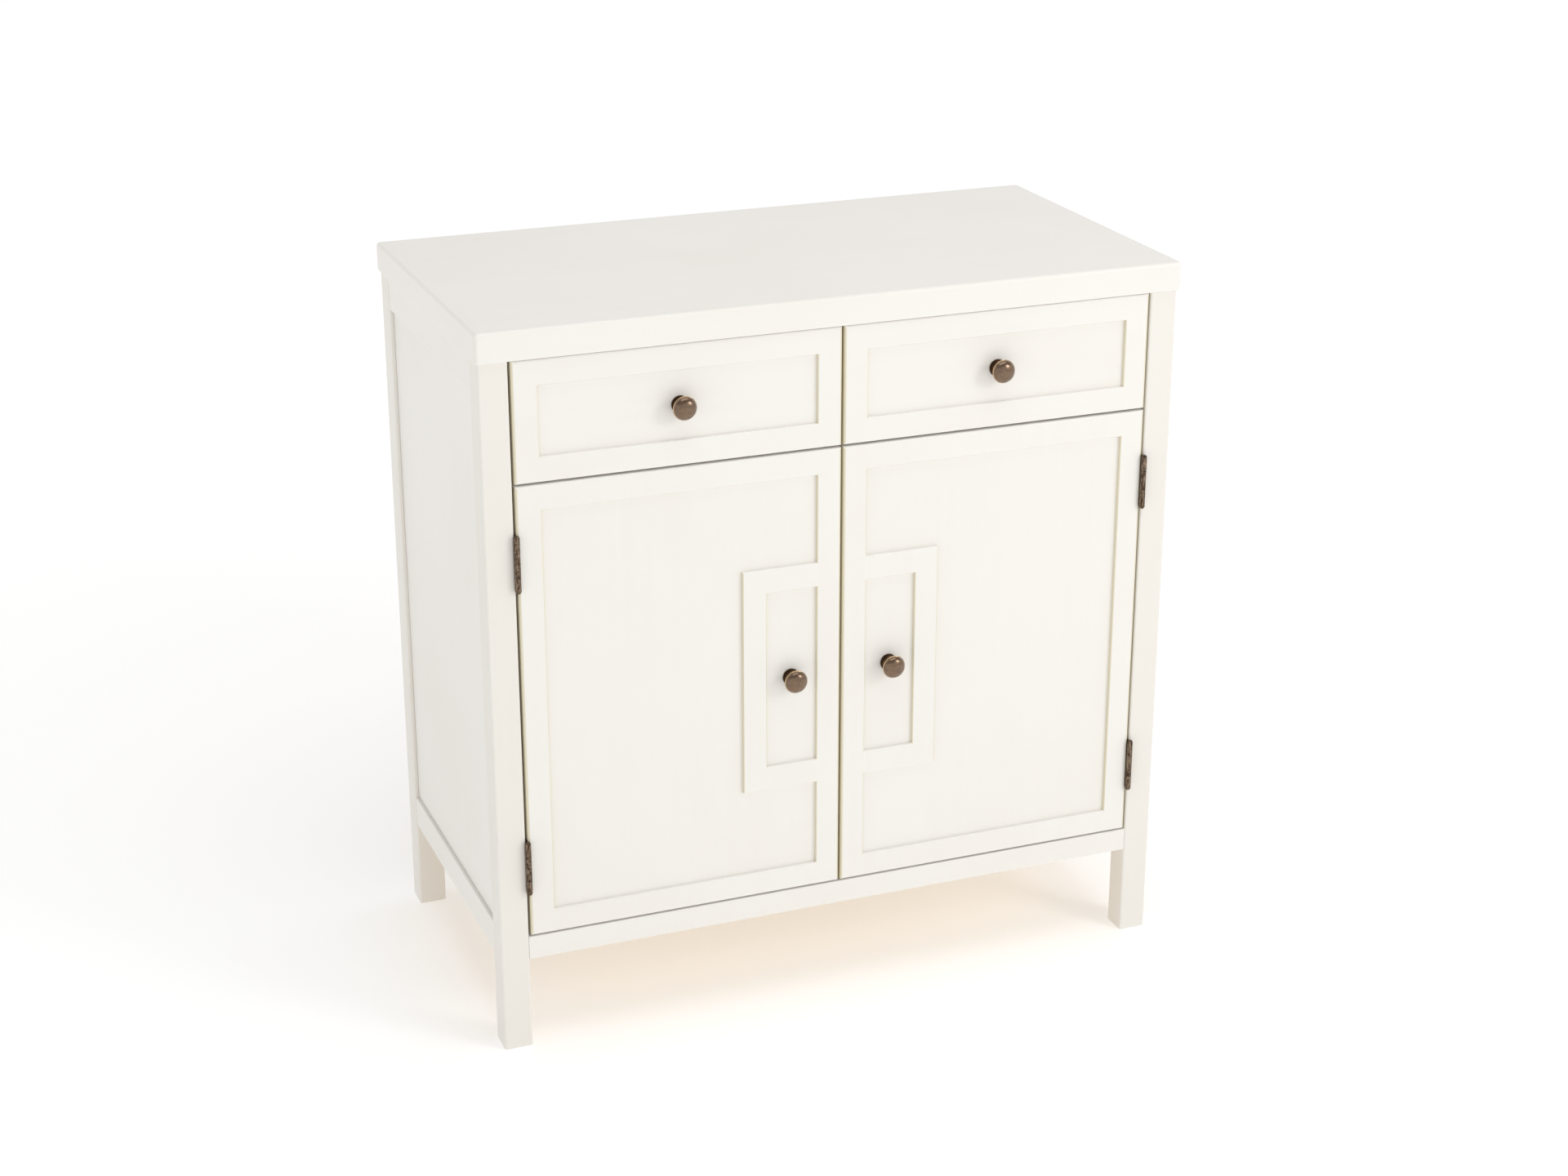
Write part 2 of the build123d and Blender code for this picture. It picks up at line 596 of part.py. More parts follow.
def hinge_leaves(post_side):
    """Both leaves of a right-hand door on one side, drilled for their screws."""
    outward = (-1, 0, 0) if post_side else (1, 0, 0)
    holes = [SMALL_SCREW.hole(seat, outward) for seat in hinge_screw_seats(post_side)]
    return [Pos(HINGE_X, HINGE_Y, z) * hinge_leaf(post_side) - holes for z in HINGE_HEIGHTS]


def hinge_pins():
    """The right-hand hinge pins, each with a small head above and below its barrel."""
    head_radius, head_height = HINGE_PIN_HEAD
    top = HINGE_LENGTH / 2 - KNUCKLE_END_GAP / 2
    head = Pos(0, 0, top + head_height / 2) * Cylinder(head_radius, head_height)
    head = fillet(head.edges().group_by(Axis.Z)[-1], head_height / 2)
    pin = Cylinder(HINGE_PIN_RADIUS, 2 * top) + head + mirror(head, about=Plane.XY)
    return [Pos(HINGE_X, HINGE_Y, z) * pin for z in HINGE_HEIGHTS]


# ------------------------------------------------------------------ door and drawer fronts
def rectangle(x, z):
    """An upright rectangle between two limits in X and two in Z."""
    return Pos(sum(x) / 2, sum(z) / 2) * Rectangle(x[1] - x[0], z[1] - z[0])


def face_frame(z, windows):
    """A whole front frame with eased edges; windows are upright faces cut through it."""
    outline = rectangle((FRONT_IN, FRONT_OUT), z) - windows
    frame = extrude(Plane.XZ.offset(-CORE_FACE) * outline, FACE_FRAME_DEPTH)
    front = frame.faces().sort_by(Axis.Y)[0]
    frame = fillet([edge for wire in front.inner_wires() for edge in wire.edges()], WINDOW_EDGE_RADIUS)
    front = frame.faces().sort_by(Axis.Y)[0]
    return fillet(front.outer_wire().edges(), FRONT_EDGE_RADIUS)


def parted(frame, spans):
    """The pieces of a frame inside each of the given (x, z) limits."""
    y = (FACE - FACE_FRAME_DEPTH, CORE_FACE)
    return [(frame & Span(x, y, z).solid()).solid() for x, z in spans]


def frame_window(z):
    """The limits of the sunk field of a front whose height runs over z."""
    x = (FRONT_IN + FACE_FRAME_WIDTH, FRONT_OUT - FACE_FRAME_WIDTH)
    return x, (z[0] + FACE_FRAME_WIDTH, z[1] - FACE_FRAME_WIDTH)


def stiles_and_rails(frame, z):
    """A frame's two stiles, full height, and the two rails between them."""
    (x_low, x_high), (z_low, z_high) = frame_window(z)
    return parted(frame, [
        ((FRONT_IN, x_low), z),
        ((x_high, FRONT_OUT), z),
        ((x_low, x_high), (z[0], z_low)),
        ((x_low, x_high), (z_high, z[1])),
    ])


def core_board(z):
    """The board behind a face frame, its rear edges eased."""
    core = Span((FRONT_IN, FRONT_OUT), (CORE_FACE, FRONT_BACK), z).solid()
    return fillet(core.edges().group_by(Axis.Y)[-1], BACK_EDGE_RADIUS)


def knob():
    """A turned knob, base at the origin and axis along +Z, with a blind hole for its screw."""
    rim_top = KNOB_PROJECTION - KNOB_DOME_HEIGHT
    rim_low = rim_top - KNOB_RIM_HEIGHT
    neck_low = (KNOB_NECK_RADIUS, KNOB_BASE_HEIGHT + KNOB_BASE_RADIUS - KNOB_NECK_RADIUS)
    neck_high = (KNOB_NECK_RADIUS, rim_low - (KNOB_HEAD_RADIUS - KNOB_NECK_RADIUS) / 2)
    outline = [
        Line((0, 0), (KNOB_BASE_RADIUS, 0)),
        Line((KNOB_BASE_RADIUS, 0), (KNOB_BASE_RADIUS, KNOB_BASE_HEIGHT)),
        RadiusArc((KNOB_BASE_RADIUS, KNOB_BASE_HEIGHT), neck_low, KNOB_BASE_RADIUS - KNOB_NECK_RADIUS),
        Line(neck_low, neck_high),
        Spline(
            neck_high,
            (KNOB_HEAD_RADIUS, rim_low),
            tangents=[(0, 1), (1, 0)],
        ),
        ThreePointArc(
            (KNOB_HEAD_RADIUS, rim_low),
            (KNOB_HEAD_RADIUS + KNOB_RIM_HEIGHT / 4, (rim_low + rim_top) / 2),
            (KNOB_HEAD_RADIUS, rim_top),
        ),
        Spline((KNOB_HEAD_RADIUS, rim_top), (0, KNOB_PROJECTION), tangents=[(-0.25, 1), (-1, 0)]),
        Line((0, KNOB_PROJECTION), (0, 0)),
    ]
    body = revolve(make_face(Plane.XZ * Curve(outline)), Axis.Z)
    return body - Cylinder(KNOB_SCREW_RADIUS + SCREW_CLEARANCE, 2 * KNOB_HOLE_DEPTH)


def knob_screw():
    """The machine screw of a knob: head seat at the origin, head towards +Z, shank towards -Z."""
    head_radius, head_height = KNOB_SCREW_HEAD
    length = CORE_THICKNESS + KNOB_SCREW_GRIP
    head = Pos(0, 0, head_height / 2) * Cylinder(head_radius, head_height)
    head = fillet(head.edges().group_by(Axis.Z)[-1], head_height / 2)
    slot = Pos(0, 0, head_height) * Box(2 * head_radius, KNOB_SCREW_RADIUS / 2, head_height)
    return head - slot + Pos(0, 0, -length / 2) * Cylinder(KNOB_SCREW_RADIUS, length)


def knob_hole(x, z):
    """The hole through a core board for a knob screw."""
    drill = Cylinder(KNOB_SCREW_RADIUS + SCREW_CLEARANCE, 4 * CORE_THICKNESS)
    return placed(drill, (x, CORE_FACE, z), (0, -1, 0))


def write_knob(name, x, z):
    """Write a knob and its screw, on both sides."""
    write_both(f"{name}_knob", placed(knob(), (x, CORE_FACE, z), (0, -1, 0)))
    write_both(f"{name}_knob_screw", placed(knob_screw(), (x, FRONT_BACK, z), (0, 1, 0)))


# ------------------------------------------------------------------ catches
def catch_middle_y():
    """The middle of the catch housings, front to back."""
    magnet_face = FRONT_BACK + STRIKE_SIZE[1] + STRIKE_AIR_GAP
    return magnet_face + MAGNET_STANDOUT + CATCH_SIZE[1] / 2


def catch_magnet():
    """The magnet block of the right-hand catch, standing a little ahead of its housing."""
    face = catch_middle_y() - CATCH_SIZE[1] / 2 - MAGNET_STANDOUT
    return Span(
        centred(CATCH_CENTRE_X, MAGNET_SIZE[0]),
        (face, face + MAGNET_SIZE[1]),
        centred(DECK_BOTTOM - CATCH_SIZE[2] / 2, MAGNET_SIZE[2]),
    ).solid()


def catch_screw_seats():
    """Head positions of the right-hand catch's two screws, sunk into the housing."""
    z = DECK_BOTTOM - CATCH_SIZE[2] + CATCH_SCREW_WELL
    return [(x, catch_middle_y(), z) for x in centred(CATCH_CENTRE_X, CATCH_SCREW_SPACING)]


def catch_screw_holes():
    """Holes of the catch screws, both sides."""
    return pair([SMALL_SCREW.hole(seat, (0, 0, -1)) for seat in catch_screw_seats()])


def catch_housing():
    """The right-hand catch housing, under the front of the deck."""
    housing = Span(
        centred(CATCH_CENTRE_X, CATCH_SIZE[0]),
        centred(catch_middle_y(), CATCH_SIZE[1]),
        (DECK_BOTTOM - CATCH_SIZE[2], DECK_BOTTOM),
    ).solid()
    housing = fillet(housing.edges().filter_by(Axis.Z), BACK_EDGE_RADIUS)
    wells = [
        Pos(x, y, z - CATCH_SCREW_WELL / 2) * Cylinder(SMALL_SCREW.head_radius, CATCH_SCREW_WELL)
        for x, y, z in catch_screw_seats()
    ]
    return housing - catch_magnet() - wells - catch_screw_holes()


def strike_screw_seats():
    """Head positions of the two screws of the right-hand strike plate."""
    z = DECK_BOTTOM - CATCH_SIZE[2] / 2
    return [(x, FRONT_BACK + STRIKE_SIZE[1], z) for x in centred(CATCH_CENTRE_X, STRIKE_SCREW_SPACING)]


def strike_plate():
    """The steel plate on the rear of the right-hand door that the magnet holds."""
    plate = Span(
        centred(CATCH_CENTRE_X, STRIKE_SIZE[0]),
        (FRONT_BACK, FRONT_BACK + STRIKE_SIZE[1]),
        centred(DECK_BOTTOM - CATCH_SIZE[2] / 2, STRIKE_SIZE[2]),
    ).solid()
    plate = fillet(plate.edges().filter_by(Axis.Y), 2 * BACK_EDGE_RADIUS)
    return plate - [SMALL_SCREW.hole(seat, (0, 1, 0)) for seat in strike_screw_seats()]


# ------------------------------------------------------------------ nodes
def write_case():
    """Write the fixed case."""
    write("top_board", top_board())
    write_both("front_post", front_post())
    write_both("back_post", back_post())
    write_both("bottom_side_rail", side_rail(
        (LEG_CLEARANCE, SIDE_RAIL_TOP), BOTTOM_SIDE_TENONS,
        (SIDE_RAIL_TOP - PANEL_GROOVE_DEPTH, SIDE_RAIL_TOP),
    ))
    write_both("top_side_rail", side_rail(
        (TOP_RAIL_BOTTOM, POST_HEIGHT), TOP_SIDE_TENONS,
        (TOP_RAIL_BOTTOM, TOP_RAIL_BOTTOM + PANEL_GROOVE_DEPTH),
    ))
    write_both("side_panel", side_panel())
    write("front_bottom_rail", cross_rail("front_bottom_rail", FRONT_BOTTOM_RAIL))
    write("back_bottom_rail", cross_rail("back_bottom_rail", BACK_BOTTOM_RAIL) - nail_holes())
    holes = top_screw_holes()
    write("front_top_rail", cross_rail("front_top_rail", FRONT_TOP_RAIL) - holes)
    write("back_top_rail", cross_rail("back_top_rail", BACK_TOP_RAIL) - holes - nail_holes())
    write("back_panel", back_panel())
    write("drawer_deck", drawer_deck())
    write("drawer_divider", drawer_divider())
    write("drawer_runners", *pair(runners()))
    write("floor_board", floor_board())
    write("board_bearers", *pair(bearers()))
    write("shelf", shelf())
    write("shelf_pins", *pair(shelf_pins()))


def write_fittings():
    """Write the metal fittings that stay on the case."""
    write("post_hinge_leaves", *pair(hinge_leaves(post_side=True)))
    write("hinge_pins", *pair(hinge_pins()))
    write("catch_housings", *pair([catch_housing()]))
    write("catch_magnets", *pair([catch_magnet()]))
    hinge_screws = [SMALL_SCREW.driven(seat, (-1, 0, 0)) for seat in hinge_screw_seats(post_side=True)]
    catch_screws = [SMALL_SCREW.driven(seat, (0, 0, -1)) for seat in catch_screw_seats()]
    write("small_case_screws", *pair(hinge_screws + catch_screws))
    write("back_panel_nails", *[placed(NAIL.solid(), seat, (0, 1, 0)) for seat in nail_seats()])
    write("top_board_screws", *pair([TOP_SCREW.driven(seat, (0, 0, -1)) for seat in top_screw_seats()]))


def write_doors():
    """Write the two doors, each with its raised lock frame, knob, hinge leaves and strike plate."""
    z = (DOOR_BOTTOM, DOOR_TOP)
    field_x, field_z = frame_window(z)
    lock_x = (field_x[0], field_x[0] + LOCK_FRAME_REACH)
    lock_z = centred(DOOR_MIDDLE, LOCK_FRAME_HEIGHT)
    well_x = (field_x[0], lock_x[1] - FACE_FRAME_WIDTH)
    well_z = (lock_z[0] + FACE_FRAME_WIDTH, lock_z[1] - FACE_FRAME_WIDTH)
    windows = [
        rectangle(field_x, field_z) - rectangle(lock_x, lock_z),
        rectangle(well_x, well_z),
    ]
    frame = face_frame(z, windows)
    write_both("door_frame", *stiles_and_rails(frame, z))
    write_both("door_lock_frame", *parted(frame, [
        (well_x, (lock_z[0], well_z[0])),
        (well_x, (well_z[1], lock_z[1])),
        ((well_x[1], lock_x[1]), lock_z),
    ]))

    holes = [SMALL_SCREW.hole(seat, (1, 0, 0)) for seat in hinge_screw_seats(post_side=False)]
    holes += [SMALL_SCREW.hole(seat, (0, 1, 0)) for seat in strike_screw_seats()]
    write_both("door_panel", core_board(z) - holes - knob_hole(DOOR_KNOB_X, DOOR_MIDDLE))
    write_both("door_hinge_leaves", *hinge_leaves(post_side=False))
    write_both("door_strike_plate", strike_plate())
    screws = [SMALL_SCREW.driven(seat, (1, 0, 0)) for seat in hinge_screw_seats(post_side=False)]
    screws += [SMALL_SCREW.driven(seat, (0, 1, 0)) for seat in strike_screw_seats()]
    write_both("door_screws", *screws)
    write_knob("door", DOOR_KNOB_X, DOOR_MIDDLE)


def drawer_bottom_span():
    """The limits of a drawer's bottom board, housed in the front and both sides."""
    reach = DRAWER_GROOVE_DEPTH - PANEL_END_GAP
    z_low = BOX_BOTTOM + DRAWER_BOTTOM_RISE
    return Span(
        (BOX_IN + DRAWER_SIDE_THICKNESS - reach, BOX_OUT - DRAWER_SIDE_THICKNESS + reach),
        (FRONT_BACK - reach, BOX_REAR),
        (z_low, z_low + DRAWER_BOTTOM_THICKNESS),
    )


def write_drawers():
    """Write the two drawers: framed front, box, bottom and knob."""
    z = (DRAWER_FRONT_BOTTOM, DRAWER_FRONT_TOP)
    frame = face_frame(z, [rectangle(*frame_window(z))])
    write_both("drawer_face_frame", *stiles_and_rails(frame, z))

    bottom = drawer_bottom_span()
    gap = DRAWER_GROOVE_CLEARANCE
    housing = bottom.grown(x=PANEL_END_GAP, y=PANEL_END_GAP, z=gap).solid()
    write_both("drawer_front_panel", core_board(z) - housing - knob_hole(DRAWER_KNOB_X, DRAWER_MIDDLE))
    write_both("drawer_bottom", bottom.solid())

    y = (FRONT_BACK, BOX_REAR)
    depth = RUNNER_THICKNESS - DRAWER_SIDE_GAP + RUNNER_CLEARANCE
    slot_z = centred(RUNNER_MIDDLE, RUNNER_HEIGHT + 2 * RUNNER_CLEARANCE)
    inner = Span((BOX_IN, BOX_IN + DRAWER_SIDE_THICKNESS), y, (BOX_BOTTOM, BOX_TOP)).solid()
    outer = Span((BOX_OUT - DRAWER_SIDE_THICKNESS, BOX_OUT), y, (BOX_BOTTOM, BOX_TOP)).solid()
    inner -= Span((BOX_IN, BOX_IN + depth), y, slot_z).solid()
    outer -= Span((BOX_OUT - depth, BOX_OUT), y, slot_z).solid()
    write_both("drawer_sides", inner - housing, outer - housing)
    write_both("drawer_back", Span(
        (BOX_IN + DRAWER_SIDE_THICKNESS, BOX_OUT - DRAWER_SIDE_THICKNESS),
        (BOX_REAR - DRAWER_SIDE_THICKNESS, BOX_REAR),
        (bottom.z[1], BOX_TOP - DRAWER_BACK_DROP),
    ).solid())
    write_knob("drawer", DRAWER_KNOB_X, DRAWER_MIDDLE)


os.makedirs("parts", exist_ok=True)
write_case()
write_fittings()
write_doors()
write_drawers()
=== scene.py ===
import logging
import math
from collections.abc import Iterable, Mapping, Sequence
from dataclasses import dataclass, field
from enum import Enum
from typing import Protocol

import bmesh
import bpy
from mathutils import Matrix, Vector


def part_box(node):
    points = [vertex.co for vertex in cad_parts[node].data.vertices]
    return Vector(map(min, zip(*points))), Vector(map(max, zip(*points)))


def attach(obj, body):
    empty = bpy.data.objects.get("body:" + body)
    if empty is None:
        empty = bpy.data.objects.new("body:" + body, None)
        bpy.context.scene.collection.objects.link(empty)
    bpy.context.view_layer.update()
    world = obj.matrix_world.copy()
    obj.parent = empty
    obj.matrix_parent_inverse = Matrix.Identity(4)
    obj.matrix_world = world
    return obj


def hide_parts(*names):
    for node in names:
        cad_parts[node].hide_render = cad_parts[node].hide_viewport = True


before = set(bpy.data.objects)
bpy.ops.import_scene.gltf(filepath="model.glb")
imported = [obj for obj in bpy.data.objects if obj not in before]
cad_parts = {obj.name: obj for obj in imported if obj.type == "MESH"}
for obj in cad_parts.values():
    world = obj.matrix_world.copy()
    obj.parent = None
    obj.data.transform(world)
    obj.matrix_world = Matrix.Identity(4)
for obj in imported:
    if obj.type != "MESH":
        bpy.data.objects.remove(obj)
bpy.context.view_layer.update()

# A painted two-drawer, two-door cupboard with turned brass knobs, in metres.
# The front faces -Y, X is the width and +Z is up. Wood, boards and fittings come from the frame;
# this file gives every one of them its finish, and turns the four knobs as fine lathe meshes.

LOG = logging.getLogger("cupboard")
MM = 0.001

SHIFT_STEP = 1.37                 # from one piece's pattern to the next, in metres
SHIFT_SHARES = (1.0, 0.61, 0.83)  # of that step, along each axis
AXIS_REACH = 0.01 * MM            # a smaller radius is a point on the axis
MIX_FIRST, MIX_SECOND = 6, 7      # a Mix node's sockets for colours
MIX_RESULT = 2

Colour = tuple[float, float, float]
Point = tuple[float, float, float]
Span = tuple[float, float]


# ---------------------------------------------------------------- shader values
class Wire:
    """One shader value. Arithmetic on it adds Math nodes to its sheet."""

    def __init__(self, sheet: "NodeSheet", socket: bpy.types.NodeSocket | None) -> None:
        """Wrap an output of a node on a sheet, or None for a node that has no output."""
        self.sheet = sheet
        self.socket = socket

    def _math(self, operation: str, first: "Wire | float", second: "Wire | float" = 0.0) -> "Wire":
        """Add one Math node and return its result."""
        return self.sheet.node("ShaderNodeMath", {"operation": operation}, {0: first, 1: second})

    def __add__(self, other: "Wire | float") -> "Wire":
        """Return self + other."""
        return self._math("ADD", self, other)

    def __radd__(self, other: float) -> "Wire":
        """Return other + self."""
        return self._math("ADD", other, self)

    def __sub__(self, other: "Wire | float") -> "Wire":
        """Return self - other."""
        return self._math("SUBTRACT", self, other)

    def __rsub__(self, other: float) -> "Wire":
        """Return other - self."""
        return self._math("SUBTRACT", other, self)

    def __mul__(self, other: "Wire | float") -> "Wire":
        """Return self * other."""
        return self._math("MULTIPLY", self, other)

    def __rmul__(self, other: float) -> "Wire":
        """Return other * self."""
        return self._math("MULTIPLY", other, self)

    def __truediv__(self, other: "Wire | float") -> "Wire":
        """Return self / other."""
        return self._math("DIVIDE", self, other)

    def __rtruediv__(self, other: float) -> "Wire":
        """Return other / self."""
        return self._math("DIVIDE", other, self)

    def __pow__(self, other: "Wire | float") -> "Wire":
        """Return self raised to other."""
        return self._math("POWER", self, other)

    def __abs__(self) -> "Wire":
        """Return the size of self without its sign."""
        return self._math("ABSOLUTE", self)

    def fraction(self) -> "Wire":
        """Return what is left of self after its whole part."""
        return self._math("FRACT", self)

    def eased(self, low: float, high: float) -> "Wire":
        """Rise smoothly from 0 at low to 1 at high, or fall where low is the larger.

        Args:
            low: The value that gives 0.
            high: The value that gives 1.

        Returns:
            The share, from 0 to 1.
        """
        settings = {"interpolation_type": "SMOOTHSTEP"}
        if low < high:
            return self.sheet.node("ShaderNodeMapRange", settings, {0: self, 1: low, 2: high})
        return 1.0 - self.sheet.node("ShaderNodeMapRange", settings, {0: self, 1: high, 2: low})

    def held(self) -> "Wire":
        """Hold self between 0 and 1."""
        return self.sheet.node("ShaderNodeClamp", {}, {"Value": self})

    def swing(self, amount: float) -> "Wire":
        """Turn a noise from 0 to 1 into a swing about zero, of that amount from end to end."""
        return amount * (self - 0.5)

    def hypot(self, other: "Wire") -> "Wire":
        """Return the long side of the right angle that self and other make."""
        return (self ** 2.0 + other ** 2.0) ** 0.5


Value = Wire | float | Sequence[float]


@dataclass(frozen=True)
class Noise:
    """Soft noise: features to a metre, finer layers added, and how strong those are."""

    scale: float
    detail: float = 3.0
    rough: float = 0.5


class NodeSheet:
    """The node tree of one material, or of the sky."""

    def __init__(self, owner: bpy.types.Material | bpy.types.World) -> None:
        """Start with an empty node tree.

        Args:
            owner: The material, or the world, that the tree belongs to.
        """
        self.owner = owner
        owner.use_nodes = True
        self.tree = owner.node_tree
        self.tree.nodes.clear()

    @classmethod
    def named(cls, name: str) -> "NodeSheet":
        """Start a new material with that name."""
        return cls(bpy.data.materials.new(name))

    def node(
        self,
        kind: str,
        settings: Mapping[str, object] | None = None,
        inputs: Mapping[str | int, Value] | None = None,
        output: str | int = 0,
    ) -> Wire:
        """Add a node.

        Args:
            kind: The node's type.
            settings: Its properties, set before its inputs.
            inputs: A value or a wire for each named or numbered input socket.
            output: The output socket that is wanted.

        Returns:
            That output.
        """
        made = self.tree.nodes.new(kind)
        for name, setting in (settings or {}).items():
            setattr(made, name, setting)
        for place, value in (inputs or {}).items():
            if isinstance(value, Wire):
                self.tree.links.new(value.socket, made.inputs[place])
            else:
                made.inputs[place].default_value = value
        return Wire(self, made.outputs[output] if made.outputs else None)

    def position(self) -> Wire:
        """Return the point on the piece, in the frame that the piece was made in."""
        return self.node("ShaderNodeTexCoord", output="Object")

    def facing(self) -> Wire:
        """Return the way that the surface faces, in the frame that the piece was made in."""
        return self.node("ShaderNodeTexCoord", output="Normal")

    def parts(self, vector: Wire) -> tuple[Wire, Wire, Wire]:
        """Take a vector apart.

        Args:
            vector: The vector.

        Returns:
            Its X, Y and Z.
        """
        x = self.node("ShaderNodeSeparateXYZ", {}, {0: vector}, "X")
        split = x.socket.node
        return x, Wire(self, split.outputs["Y"]), Wire(self, split.outputs["Z"])

    def scaled(self, vector: Wire, scale: Point, shift: Point = (0.0, 0.0, 0.0)) -> Wire:
        """Return a position that is scaled along each axis, then shifted."""
        inputs = {0: vector, 1: scale, 2: shift}
        return self.node("ShaderNodeVectorMath", {"operation": "MULTIPLY_ADD"}, inputs)

    def noise(self, vector: Wire, noise: Noise) -> Wire:
        """Read soft noise.

        Args:
            vector: Where it is read.
            noise: The noise.

        Returns:
            Its value, from 0 to 1.
        """
        inputs = {
            "Vector": vector,
            "Scale": noise.scale,
            "Detail": noise.detail,
            "Roughness": noise.rough,
        }
        return self.node("ShaderNodeTexNoise", {}, inputs, "Fac")

    def specks(self, vector: Wire, scale: float) -> Wire:
        """Return the distance to the nearest of many scattered points, about 0 to 1."""
        inputs = {"Vector": vector, "Scale": scale}
        return self.node("ShaderNodeTexVoronoi", {}, inputs, "Distance")

    def tint(self, share: Wire | float, first: Value, second: Value) -> Wire:
        """Mix two colours.

        Args:
            share: How much of the second shows.
            first: The colour at share 0.
            second: The colour at share 1.

        Returns:
            The mixed colour.
        """
        ends = [value if isinstance(value, Wire) else (*value, 1.0) for value in (first, second)]
        inputs = {0: share, MIX_FIRST: ends[0], MIX_SECOND: ends[1]}
        return self.node("ShaderNodeMix", {"data_type": "RGBA"}, inputs, MIX_RESULT)

    def relief(self, height: Wire, depth: float, strength: float) -> Wire:
        """Return a normal bumped by a height from 0 to 1, which is depth metres high at 1."""
        inputs = {"Height": height, "Distance": depth, "Strength": strength}
        return self.node("ShaderNodeBump", {}, inputs)

    def surface(self, inputs: Mapping[str, Value]) -> bpy.types.Material:
        """Close the sheet with a Principled shader.

        Args:
            inputs: The shader's sockets by name. A colour may leave out its alpha.

        Returns:
            The finished material.
        """
        full = {
            name: (*value, 1.0) if isinstance(value, tuple) and len(value) == 3 else value
            for name, value in inputs.items()
        }
        shader = self.node("ShaderNodeBsdfPrincipled", {}, full)
        self.node("ShaderNodeOutputMaterial", {}, {"Surface": shader})
        return self.owner


# ---------------------------------------------------------------- places
@dataclass(frozen=True)
class Extent:
    """The box that a piece fills."""

    low: Vector
    high: Vector

    @classmethod
    def of(cls, node: str) -> "Extent":
        """Return the box of a node of the frame."""
        return cls(*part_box(node))

    @property
    def middle(self) -> Vector:
        """The centre of the box."""
        return (self.low + self.high) / 2

    @property
    def size(self) -> Vector:
        """The length of the box along each axis."""
        return self.high - self.low

    def arrises(self, sheet: NodeSheet, width: float) -> Wire:
        """Mark the strips along the twelve edges of the box.

        Args:
            sheet: The material's sheet.
            width: How wide the strips are.

        Returns:
            1 at an edge, falling to 0 a strip's width away from it.
        """
        # A point on an edge is near two of the three pairs of faces, so one is taken off the sum.
        near: Wire | float = -1.0
        for value, middle, size in zip(sheet.parts(sheet.position()), self.middle, self.size):
            depth = size / 2 - abs(value - middle)
            near = near + depth.eased(width, 0.0)
        return near.held()


class Grain(Enum):
    """The way that the wood of a piece runs."""

    ACROSS = 0
    DEEP = 1
    UP = 2

    def stretch(self, squeeze: float) -> Point:
        """Return a scale for each axis.

        Args:
            squeeze: The scale along the grain. Across it the scale is 1.

        Returns:
            The three scales.
        """
        scales = [1.0, 1.0, 1.0]
        scales[self.value] = squeeze
        return tuple(scales)

    @property
    def letter(self) -> str:
        """The axis's letter."""
        return "XYZ"[self.value]


@dataclass(frozen=True)
class Job:
    """What a finish needs to know about the piece it goes on. Its turn shifts the pattern."""

    name: str
    extent: Extent
    grain: Grain
    turn: int

    def pattern(self, sheet: NodeSheet) -> Wire:
        """Return the position that patterns are read at, shifted differently for each piece."""
        shift = tuple(share * SHIFT_STEP * self.turn for share in SHIFT_SHARES)
        return sheet.scaled(sheet.position(), (1.0, 1.0, 1.0), shift)


class Finish(Protocol):
    """What every finish offers: its slot in the record, and a material for a piece."""

    slot: str

    def build(self, job: Job) -> bpy.types.Material:
        """Make the material for one piece."""


